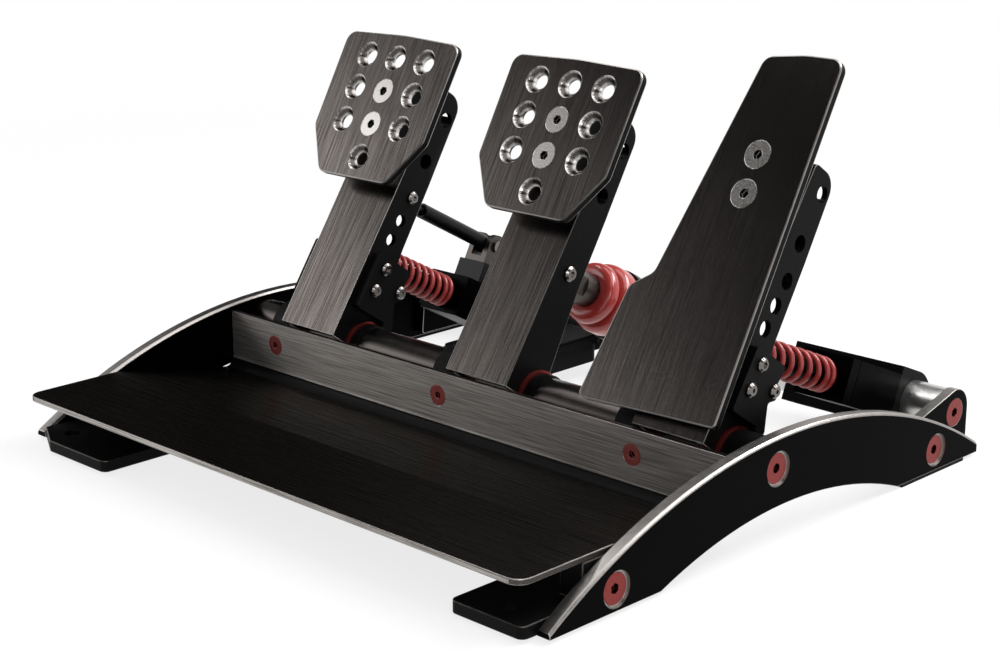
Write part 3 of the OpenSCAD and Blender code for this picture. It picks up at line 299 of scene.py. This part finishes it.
# %% [markdown]
# ## Red coating and cast polyurethane
# The springs are steel wire with a red powder coat: a smooth, slightly wavy skin. The brake bushes are cast
# polyurethane, glossy and a little clouded.

# %% Red finishes
RIPPLE_DEEP = 0.0002


def clouded_red(name, pale, deep, cloud_mm, ripple_mm, rough, **sockets):
    finish, tree, shader = start(name, Roughness=rough, **sockets)
    place = add(tree, "ShaderNodeTexCoord").outputs["Object"]
    cloud = add(tree, "ShaderNodeTexNoise", {"Vector": place, "Scale": 1000 / cloud_mm, "Detail": 3.0})
    ripple = add(tree, "ShaderNodeTexNoise", {"Vector": place, "Scale": 1000 / ripple_mm, "Detail": 1.0})
    tint = add(tree, "ShaderNodeMix", {
        "Factor": cloud.outputs["Fac"], "A": linear(deep), "B": linear(pale),
    }, data_type="RGBA")
    bump = add(tree, "ShaderNodeBump", {
        "Height": ripple.outputs["Fac"], "Strength": 0.2, "Distance": RIPPLE_DEEP,
    })
    tree.links.new(tint.outputs["Result"], shader.inputs["Base Color"])
    tree.links.new(bump.outputs["Normal"], shader.inputs["Normal"])
    return finish


spring_coat = clouded_red("red_powder_coated_steel", "#a23632", "#842727", 9.0, 1.4, 0.34)
polyurethane = clouded_red("red_cast_polyurethane", "#b03a35", "#96302d", 12.0, 3.0, 0.26, Coat_Weight=0.3)
print("two red finishes")

# %% [markdown]
# ## A finish for every piece
# Pieces that keep their CAD mesh only get their material slot filled. The list goes by what the maker did
# to the piece: brushed, blasted, coated, anodised red, plated or polished.

# %% Assign the finishes
FINISH = {
    "side_plate_left": blasted_plate, "side_plate_right": blasted_plate, "heel_plate": brushed_sheet,
    "front_foot_left": coated_metal, "front_foot_right": coated_metal, "rubber_pads": rubber,
    "side_screws": red_metal, "bar_screws": red_painted_highlight, "rear_tube_screws": red_metal,
    "pedal_axle": dark_steel, "rear_tube": polished, "axle_collars": satin_metal,
    "rear_bracket_left": blasted_plate, "rear_bracket_right": blasted_plate,
    "load_cell_housing": satin_metal, "damper_block": satin_metal, "damper_clevis": grey_block,
    "clevis_pin": turned_steel, "damper_bolt": turned_steel, "brake_pin_bolt": turned_steel,
    "brake_rod": polished, "brake_cup": grey_block, "brake_elastomers": polyurethane,
    "damper_rod": satin_metal, "damper_body": satin_metal,
    "control_box": coated_metal, "control_box_cover": coated_metal,
    "clutch_pad": brushed_pad, "brake_pad": brushed_pad, "gas_plate": brushed_pad,
}
for pedal in ("clutch", "brake", "gas"):
    FINISH[pedal + "_axle_support"] = coated_metal
    FINISH[pedal + "_rear_block"] = coated_metal
    FINISH[pedal + "_arm"] = brushed_arm
    FINISH[pedal + "_pad_bracket"] = coated_metal
    FINISH[pedal + "_pad_screws"] = zinc
    FINISH[pedal + "_axle_bushes"] = red_metal
for pedal in ("clutch", "gas"):
    FINISH[pedal + "_spring_body"] = blasted_plate
    FINISH[pedal + "_spring_brackets"] = coated_metal
    FINISH[pedal + "_bracket_screws"] = turned_steel
    FINISH[pedal + "_spring_pin"] = turned_steel
    FINISH[pedal + "_spring_rod"] = satin_metal
    FINISH[pedal + "_spring"] = spring_coat

for name, piece in nodes.items():
    piece.data.materials.clear()
    piece.data.materials.append(FINISH[name])
print(len(FINISH), "pieces finished")

# %% [markdown]
# ## Eased edges
# No plate leaves the workshop with knife edges: each one is broken with a small bevel, and where the black
# skin is cut the bevel shines. A copy of the CAD mesh is merged and its flat faces are joined. Sharp edges
# that touch form a loop. A loop wider than 30 mm is an outline and gets a bevel weight; a smaller one is
# the rim of a hole, which keeps its edge and has a finish of its own: bright in the pads, where the
# countersinks were cut last, and black in the arms. The Bevel modifier cuts the weighted edges and gives
# its new faces the edge finish.

# %% Bevel by loops
SHARP = math.radians(40)
FLAT = math.radians(0.05)
CREASE = math.radians(12)
HOLE = 0.03
WELD = 1e-6
SAME_WAY = 0.999
EDGE_SLOT = 1
HOLE_SLOT = 2


def sharp_loops(work):
    left = {edge for edge in work.edges if edge.calc_face_angle(0) > SHARP}
    while left:
        loop, reach = set(), [left.pop()]
        while reach:
            edge = reach.pop()
            loop.add(edge)
            near = {other for corner in edge.verts for other in corner.link_edges} & left
            left -= near
            reach.extend(near)
        yield loop


def spread(parts):
    spots = [corner.co for part in parts for corner in part.verts]
    return max(max(s[i] for s in spots) - min(s[i] for s in spots) for i in range(3))


def in_flat(face):
    beside = {other for edge in face.edges for other in edge.link_faces} - {face}
    return any(spread([other]) >= HOLE and other.normal.dot(face.normal) > SAME_WAY for other in beside)


def eased(name, width_mm, edge_finish, hole_finish=None):
    source = nodes[name]
    work = bmesh.new()
    work.from_mesh(source.data)
    bmesh.ops.remove_doubles(work, verts=work.verts, dist=WELD)
    bmesh.ops.dissolve_limit(work, angle_limit=FLAT, verts=work.verts, edges=work.edges)
    weight = work.edges.layers.float.new("bevel_weight_edge")
    for loop in sharp_loops(work):
        is_hole = hole_finish is not None and spread(loop) < HOLE
        for edge in loop:
            edge[weight] = 0.0 if is_hole else 1.0
        for face in {face for edge in loop for face in edge.link_faces} if is_hole else ():
            if spread([face]) < HOLE and not in_flat(face):
                face.material_index = HOLE_SLOT
    mesh = bpy.data.meshes.new(name + "_eased")
    work.to_mesh(mesh)
    work.free()
    mesh.materials.append(FINISH[name])
    mesh.materials.append(edge_finish)
    mesh.materials.append(hole_finish or FINISH[name])
    piece = bpy.data.objects.new(name + "_eased", mesh)
    bpy.context.scene.collection.objects.link(piece)
    bevel = piece.modifiers.new("edges", "BEVEL")
    bevel.width = width_mm / 1000
    bevel.segments = 2
    bevel.limit_method = "WEIGHT"
    bevel.material = EDGE_SLOT
    bevel.harden_normals = False
    bevel.use_clamp_overlap = False
    bpy.context.view_layer.update()
    finished = bpy.data.meshes.new_from_object(piece.evaluated_get(bpy.context.evaluated_depsgraph_get()))
    piece.modifiers.remove(bevel)
    piece.data = finished
    finished.shade_smooth()
    finished.set_sharp_from_angle(angle=CREASE)
    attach(piece, source["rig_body"])
    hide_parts(name)
    return piece


print("edges sharper than", round(math.degrees(SHARP)), "degrees are eased")

# %% [markdown]
# ## Faces with a finish of their own
# One piece can carry more than one finish. The arms are brushed in front and coated on their flanges, and
# the pads' side walls are coated. The upward faces of the side plates and rear brackets get the bright
# cut-edge finish, a painted highlight along their tops. The heel plate's bar is painted paler than its
# floor, a painted highlight, and its bend is painted black, a painted shade in the crease. Each rule below
# looks at the way a face points. The hexagon sockets of the screws are painted dark inside, a painted shade
# in the recess.

# %% Rules for faces
SIDEWAYS = 0.9
UPWARD = 0.25
BAR_FRONT = -0.97
BEND_END = -0.15
BEND_UP = 0.2
BEND_FROM = -0.08
WALL = 0.3
SOCKET_LIP = 0.0003
SOCKET_DEEP = 0.006
SOCKET_BACK = -0.2
pad_lean = math.radians(PAD_LEAN)
PAD_FRONT = Vector((0, -math.cos(pad_lean), math.sin(pad_lean)))


def refinish(piece, finish, chosen):
    piece.data.materials.append(finish)
    for face in piece.data.polygons:
        if face.material_index == 0 and chosen(face):
            face.material_index = len(piece.data.materials) - 1


def on_flange(face):
    return abs(face.normal.x) > SIDEWAYS


# Upward faces of the side plates and brackets get the bright edge finish: a painted highlight along their
# tops.
def top_painted_highlight(face):
    return abs(face.normal.x) < SIDEWAYS and face.normal.z > UPWARD


def on_bar(face):
    return face.normal.y < BAR_FRONT


# The bend between the bar and the floor is given black coat: a painted shade in the crease.
def bend_painted_shade(face):
    turns = BAR_FRONT < face.normal.y < BEND_END
    return turns and face.normal.z > BEND_UP and face.center.y > BEND_FROM


def on_wall(face):
    return abs(PAD_FRONT.dot(face.normal)) < WALL


# Faces just below a screw's top are given black coat: a painted shade inside the hexagon socket.
def socket_painted_shade(piece, out):
    top = max(out.dot(corner.co) for corner in piece.data.vertices)

    def chosen(face):
        below = top - SOCKET_DEEP < out.dot(face.center) < top - SOCKET_LIP
        return below and out.dot(face.normal) > SOCKET_BACK
    return chosen


print("six rules for faces")

# %% Ease the plates, screws and feet
EASED = {
    "clutch_pad": (0.8, machined), "brake_pad": (0.8, machined), "gas_plate": (0.8, machined),
    "heel_plate": (0.4, bright_edge),
    "side_plate_left": (0.35, bright_edge), "side_plate_right": (0.35, bright_edge),
    "rear_bracket_left": (0.35, bright_edge), "rear_bracket_right": (0.35, bright_edge),
    "clutch_arm": (0.35, coated_metal), "brake_arm": (0.35, coated_metal), "gas_arm": (0.35, coated_metal),
}
SCREW_EASE = 0.25
FOOT_EASE = 0.5
BOTH_SIDES = ((1, 0, 0), (-1, 0, 0))
RED_SCREWS = {"side_screws": BOTH_SIDES, "rear_tube_screws": BOTH_SIDES, "bar_screws": ((0, -1, 0),)}

for name, (width, hole_finish) in EASED.items():
    piece = eased(name, width, bright_edge, hole_finish)
    if name.endswith("_arm"):
        refinish(piece, coated_metal, on_flange)
    if name.endswith(("_pad", "_plate")) and name != "heel_plate":
        refinish(piece, coated_metal, on_wall)
    if name == "heel_plate":
        # the bar gets the paler copy of the sheet, a painted highlight, and the bend gets black coat, a
        # painted shade
        refinish(piece, bar_painted_highlight, on_bar)
        refinish(piece, coated_metal, bend_painted_shade)
    if name.startswith(("side_plate", "rear_bracket")):
        # upward faces get the bright edge finish, a painted highlight
        refinish(piece, bright_edge, top_painted_highlight)
    print(piece.name, len(piece.data.polygons), "faces")

# The sockets of all screws below get black coat: a painted shade in the recess.
for name in ("clutch_pad_screws", "brake_pad_screws", "gas_pad_screws"):
    piece = eased(name, SCREW_EASE, FINISH[name])
    refinish(piece, coated_metal, socket_painted_shade(piece, PAD_FRONT))
for name, sides in RED_SCREWS.items():
    piece = eased(name, SCREW_EASE, FINISH[name])
    for out in sides:
        refinish(piece, coated_metal, socket_painted_shade(piece, Vector(out)))
# The feet are coated black, but their bevels get grey metal: a painted highlight along their edges.
for name in ("front_foot_left", "front_foot_right"):
    eased(name, FOOT_EASE, grey_block, coated_metal)

# %% [markdown]
# ## Wound springs
# A compression spring is one wire that climbs at a steady pitch, with its last turn at each end closed up
# so that it sits flat. The rule is short, so Geometry Nodes draws it: a line of points is bent round the
# axis by its place along the line, the climb is slower in the end turns, and a round profile makes the
# wire.

# %% Spring tree
STEPS_A_TURN = 32.0
WIRE_SIDES = 14
CLOSED_PITCH = 2.06
SPRING_SIZES = ("Turns", "Closed turns", "Coil radius", "Wire radius", "Length")


def spring_tree():
    tree = bpy.data.node_groups.new("wound_spring", "GeometryNodeTree")
    face = tree.interface
    for label in SPRING_SIZES:
        face.new_socket(label, in_out="INPUT", socket_type="NodeSocketFloat")
    face.new_socket("Coat", in_out="INPUT", socket_type="NodeSocketMaterial")
    face.new_socket("Spring", in_out="OUTPUT", socket_type="NodeSocketGeometry")
    given = add(tree, "NodeGroupInput").outputs
    turns, coil, wire = given["Turns"], given["Coil radius"], given["Wire radius"]

    line = add(tree, "GeometryNodeCurvePrimitiveLine", {"End": (0, 0, 1)})
    steps = add(tree, "ShaderNodeMath", {0: turns, 1: STEPS_A_TURN}, operation="MULTIPLY")
    points = add(tree, "GeometryNodeResampleCurve", {
        "Curve": line.outputs["Curve"], "Count": steps.outputs[0],
    })
    along = add(tree, "GeometryNodeSplineParameter").outputs["Factor"]
    turn_at = add(tree, "ShaderNodeMath", {0: along, 1: turns}, operation="MULTIPLY").outputs[0]

    angle = add(tree, "ShaderNodeMath", {0: turn_at, 1: math.tau}, operation="MULTIPLY").outputs[0]
    cosine = add(tree, "ShaderNodeMath", {0: angle}, operation="COSINE").outputs[0]
    sine = add(tree, "ShaderNodeMath", {0: angle}, operation="SINE").outputs[0]
    x = add(tree, "ShaderNodeMath", {0: cosine, 1: coil}, operation="MULTIPLY").outputs[0]
    y = add(tree, "ShaderNodeMath", {0: sine, 1: coil}, operation="MULTIPLY").outputs[0]

    thick = add(tree, "ShaderNodeMath", {0: wire, 1: CLOSED_PITCH}, operation="MULTIPLY").outputs[0]
    stacked = add(tree, "ShaderNodeMath", {0: turn_at, 1: thick}, operation="MULTIPLY").outputs[0]
    shut = add(tree, "ShaderNodeMath", {0: turns, 1: thick}, operation="MULTIPLY").outputs[0]
    inside = add(tree, "ShaderNodeMath", {0: wire, 1: -2.0, 2: given["Length"]}, operation="MULTIPLY_ADD")
    spare = add(tree, "ShaderNodeMath", {0: inside.outputs[0], 1: shut}, operation="SUBTRACT").outputs[0]
    last = add(tree, "ShaderNodeMath", {0: turns, 1: given["Closed turns"]}, operation="SUBTRACT").outputs[0]
    opened = add(tree, "ShaderNodeMapRange", {
        "Value": turn_at, "From Min": given["Closed turns"], "From Max": last,
    }).outputs["Result"]
    climb = add(tree, "ShaderNodeMath", {0: opened, 1: spare, 2: stacked}, operation="MULTIPLY_ADD")
    z = add(tree, "ShaderNodeMath", {0: climb.outputs[0], 1: wire}, operation="ADD").outputs[0]

    spot = add(tree, "ShaderNodeCombineXYZ", {"X": x, "Y": y, "Z": z})
    bent = add(tree, "GeometryNodeSetPosition", {
        "Geometry": points.outputs["Curve"], "Position": spot.outputs["Vector"],
    })
    section = add(tree, "GeometryNodeCurvePrimitiveCircle", {"Resolution": WIRE_SIDES, "Radius": wire})
    skin = add(tree, "GeometryNodeCurveToMesh", {
        "Curve": bent.outputs["Geometry"], "Profile Curve": section.outputs["Curve"], "Fill Caps": True,
    })
    whole = add(tree, "GeometryNodeRealizeInstances", {"Geometry": skin.outputs["Mesh"]})
    coated = add(tree, "GeometryNodeSetMaterial", {
        "Geometry": whole.outputs["Geometry"], "Material": given["Coat"],
    })
    add(tree, "NodeGroupOutput", {"Spring": coated.outputs["Geometry"]})
    return tree


wound = spring_tree()
print(len(wound.nodes), "nodes wind a spring")

# %% [markdown]
# ## Placing the springs
# Each spring sits between a cup on the rod, which moves with the pedal, and a seat on the rear unit, which
# stays. The tree winds it upright at the origin, so the mesh is then tipped onto the unit's axis and moved
# to its rear seat. The CAD's own sizes are used: millimetres from the pin of the unit, along its slope.

# %% Springs
MM = 0.001
MID_Y = 170.8
FEET = 2.0
SPRING_PIN_Y = 176.898
SPRING_PIN_Z = 83.222
SPRING_LIFT = 6
SPRING_FROM = 24.3
SPRING_OUTER = 20.0
SPRING_WIRE = 3.0
SPRING_TURNS = 9.5


def spot(x, y, z):
    return Vector((x, y - MID_Y, z + FEET)) * MM


def downhill(slope):
    return Vector((0, math.cos(math.radians(slope)), -math.sin(math.radians(slope))))


def wind(name, joint, pin, slope, end_mm):
    run = downhill(slope)
    long = end_mm - SPRING_FROM
    piece = bpy.data.objects.new(name + "_wound", bpy.data.meshes.new(name + "_blank"))
    bpy.context.scene.collection.objects.link(piece)
    winding = piece.modifiers.new("winding", "NODES")
    winding.node_group = wound
    sizes = {
        "Turns": SPRING_TURNS, "Closed turns": 1.0, "Coil radius": (SPRING_OUTER - SPRING_WIRE) / 2 * MM,
        "Wire radius": SPRING_WIRE / 2 * MM, "Length": long * MM, "Coat": spring_coat,
    }
    for item in wound.interface.items_tree:
        if item.in_out == "INPUT":
            winding[item.identifier] = sizes[item.name]
    bpy.context.view_layer.update()
    mesh = bpy.data.meshes.new_from_object(piece.evaluated_get(bpy.context.evaluated_depsgraph_get()))
    piece.modifiers.remove(winding)
    upright = Vector((0, 0, 1)).rotation_difference(run).to_matrix().to_4x4()
    mesh.transform(Matrix.Translation(pin + run * SPRING_FROM * MM) @ upright)
    mesh.shade_smooth()
    piece.data = mesh
    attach(piece, "base")
    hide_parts(name)
    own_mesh(piece)
    return piece


for name, joint, x, slope, end in (("clutch_spring", "clutch_press", -126.0, 27.926, 81.7),
                                   ("gas_spring", "gas_press", 148.5, 22.494, 99.7)):
    lifted = Vector((1, 0, 0)).cross(downhill(slope)) * SPRING_LIFT * MM
    piece = wind(name, joint, spot(x, SPRING_PIN_Y, SPRING_PIN_Z) + lifted, slope, end)
    print(piece.name, len(piece.data.polygons), "faces")

# %% [markdown]
# ## Cast bushes
# The brake presses two rings of polyurethane. Cast rings have rounded shoulders and bulge a little where
# they are squeezed. Each is a profile turned about the brake rod's axis.

# %% Turned bushes
RING_STEPS = 96
ROUND_STEPS = 12
ROD_BORE = 5.3
BRAKE_SLOPE = 28.13


def turned_ring(name, pin, slope, outline):
    run = downhill(slope)
    across = Vector((1, 0, 0))
    up = across.cross(run)
    work = bmesh.new()
    rings = []
    for k in range(RING_STEPS):
        a = math.tau * k / RING_STEPS
        out = across * math.cos(a) + up * math.sin(a)
        rings.append([work.verts.new(pin + run * w * MM + out * r * MM) for w, r in outline])
    for k in range(RING_STEPS):
        one, two = rings[k], rings[(k + 1) % RING_STEPS]
        for j in range(len(outline)):
            n = (j + 1) % len(outline)
            work.faces.new((one[j], one[n], two[n], two[j]))
    bmesh.ops.recalc_face_normals(work, faces=work.faces)
    mesh = bpy.data.meshes.new(name)
    work.to_mesh(mesh)
    work.free()
    mesh.shade_smooth()
    piece = bpy.data.objects.new(name, mesh)
    bpy.context.scene.collection.objects.link(piece)
    return piece


def bulged(start_mm, long, radius, round_mm):
    angles = [math.pi / 2 * k / ROUND_STEPS for k in range(ROUND_STEPS + 1)]
    corner = [(round_mm * (1 - math.cos(a)), radius - round_mm * (1 - math.sin(a))) for a in angles]
    rise = [(start_mm + w, r) for w, r in corner]
    fall = [(start_mm + long - w, r) for w, r in reversed(corner)]
    return [(start_mm, ROD_BORE)] + rise + fall + [(start_mm + long, ROD_BORE)]


brake_pin = spot(14.0, 189.492, 102.107)
for name, begin, long, radius, rounding in (("brake_bush_front", 45.0, 10.0, 18.0, 4.6),
                                            ("brake_bush_rear", 55.1, 16.0, 20.5, 5.0)):
    bush = turned_ring(name, brake_pin, BRAKE_SLOPE, bulged(begin, long, radius, rounding))
    bush.data.materials.append(polyurethane)
    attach(bush, "base")
    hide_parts("brake_elastomers")
    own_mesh(bush)
    print(bush.name, len(bush.data.polygons), "faces")

# %% [markdown]
# ## Floor and sky
# A plain pale floor in a white studio. The floor and the sky are white to the camera and in reflections,
# and dimmer as a source of light, so dark finishes keep their depth. Near the pedals the floor lets a fifth
# of its shading through, which is their shadow. Further off it turns plain white.

# %% Floor and sky
FLOOR_HALF = 8
SHADOW_FROM = 0.45
SHADOW_TO = 1.3
WHITE_NEAR = 0.8
SKY_LIGHT = 0.3


def seen_rays(tree):
    rays = add(tree, "ShaderNodeLightPath").outputs
    seen = rays["Is Camera Ray"]
    for kind in ("Is Glossy Ray", "Is Transmission Ray"):
        seen = add(tree, "ShaderNodeMath", {0: seen, 1: rays[kind]}, operation="MAXIMUM").outputs[0]
    return seen


corners = [(-FLOOR_HALF, -FLOOR_HALF, 0), (FLOOR_HALF, -FLOOR_HALF, 0),
           (FLOOR_HALF, FLOOR_HALF, 0), (-FLOOR_HALF, FLOOR_HALF, 0)]
floor_mesh = bpy.data.meshes.new("studio_floor")
floor_mesh.from_pydata(corners, [], [(0, 1, 2, 3)])
floor = bpy.data.objects.new("studio_floor", floor_mesh)
bpy.context.scene.collection.objects.link(floor)
floor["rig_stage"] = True

pale, tree, shader = start("pale_floor", Base_Color=linear("#f2f2f2"), Roughness=0.9, Specular_IOR_Level=0.1)
place = add(tree, "ShaderNodeTexCoord").outputs["Object"]
from_middle = add(tree, "ShaderNodeVectorMath", {0: place}, operation="LENGTH").outputs["Value"]
fade = add(tree, "ShaderNodeMapRange", {
    "Value": from_middle, "From Min": SHADOW_FROM, "From Max": SHADOW_TO,
    "To Min": WHITE_NEAR, "To Max": 1.0,
}).outputs["Result"]
share = add(tree, "ShaderNodeMath", {0: seen_rays(tree), 1: fade}, operation="MULTIPLY").outputs[0]
white = add(tree, "ShaderNodeEmission", {"Color": (1, 1, 1, 1), "Strength": 1.0})
mixed = add(tree, "ShaderNodeMixShader", {0: share, 1: shader.outputs["BSDF"], 2: white.outputs["Emission"]})
tree.links.new(mixed.outputs["Shader"], tree.nodes["Material Output"].inputs["Surface"])
floor_mesh.materials.append(pale)

sky = bpy.data.worlds.new("studio_sky")
sky.use_nodes = True
bpy.context.scene.world = sky
tree = sky.node_tree
strength = add(tree, "ShaderNodeMapRange", {"Value": seen_rays(tree), "To Min": SKY_LIGHT, "To Max": 1.0})
tree.links.new(strength.outputs["Result"], tree.nodes["Background"].inputs["Strength"])
tree.nodes["Background"].inputs["Color"].default_value = (1, 1, 1, 1)
bpy.context.scene.view_settings.view_transform = "Standard"
print("floor and sky")

# %% [markdown]
# ## Lamps and dark cards
# Black metal shows what it mirrors. Large soft lamps draw the pale gradients on the pads, arms and arched
# edges, and dark cards, seen only in reflections, keep the rest black, as a product photographer does. The
# ceiling card has an opening under the top lamp.

# %% Lamps and cards
LAMPS = {
    "left_softbox": ((-1.30, -0.82, 0.58), (0, 0, 0.14), 1.0, 0.6, 3.2),
    "left_fill": ((-1.366, -0.714, 0.68), (-0.066, 0.106, 0.24), 0.75, 0.9, 1.9),
    "rear_softbox": ((0.45, 1.15, 1.15), (0, 0, 0.1), 0.9, 0.5, 16),
    "right_strip": ((1.15, -0.8, 0.8), (0, 0, 0.15), 0.2, 0.8, 4),
    "arch_strip": ((0.69, 0.66, 1.2), (-0.2, 0, 0.1), 1.2, 0.25, 12),
    "crown_strip": ((-0.75, -0.2, 1.25), (0.19, -0.1, 0.09), 0.8, 0.2, 3.5),
    "top_softbox": ((0.15, 0.1, 1.34), (0.15, 0.1, 0), 1.2, 1.2, 8),
}
CARD_Z = 1.3
AROUND = ((-1.8, -1.8), (1.8, -1.8), (1.8, 1.8), (-1.8, 1.8))
OPENING = ((-0.45, -0.5), (0.75, -0.5), (0.75, 0.7), (-0.45, 0.7))
FLAGS = {"studio_flag": ((-1.3, 1.4), (-2.2, 0.4)), "front_flag": ((-1.25, -1.4), (0.2, -1.8))}

for name, (place, aim, wide, high, watts) in LAMPS.items():
    lamp = bpy.data.lights.new(name, "AREA")
    lamp.shape = "RECTANGLE"
    lamp.size = wide
    lamp.size_y = high
    lamp.energy = watts
    box = bpy.data.objects.new(name, lamp)
    box.location = place
    box.rotation_euler = (Vector(aim) - Vector(place)).to_track_quat("-Z", "Y").to_euler()
    bpy.context.scene.collection.objects.link(box)

dark_card = start("dark_studio_card", Base_Color=linear("#050505"), Roughness=1.0, Specular_IOR_Level=0.0)[0]


def card(name, corners, panels):
    mesh = bpy.data.meshes.new(name)
    mesh.from_pydata(corners, [], panels)
    mesh.materials.append(dark_card)
    piece = bpy.data.objects.new(name, mesh)
    bpy.context.scene.collection.objects.link(piece)
    piece.visible_camera = False
    piece.visible_diffuse = False
    piece.visible_shadow = False
    piece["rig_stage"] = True


ring = [(i, (i + 1) % 4, 4 + (i + 1) % 4, 4 + i) for i in range(4)]
card("studio_ceiling", [(x, y, CARD_Z) for x, y in AROUND + OPENING], ring)
for name, (one, two) in FLAGS.items():
    card(name, [(*one, 0), (*two, 0), (*two, CARD_Z), (*one, CARD_Z)], [(0, 1, 2, 3)])
print(len(LAMPS), "lamps and", 1 + len(FLAGS), "cards")

# %% [markdown]
# ## Sizes
# The box of the dressed model is measured and shown next to the box of the CAD model.

# %% Finish
low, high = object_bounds()
{"cad": [list(cad_low), list(cad_high)], "visual": [list(low), list(high)]}
print("visual box", [round(v, 4) for v in low], [round(v, 4) for v in high])
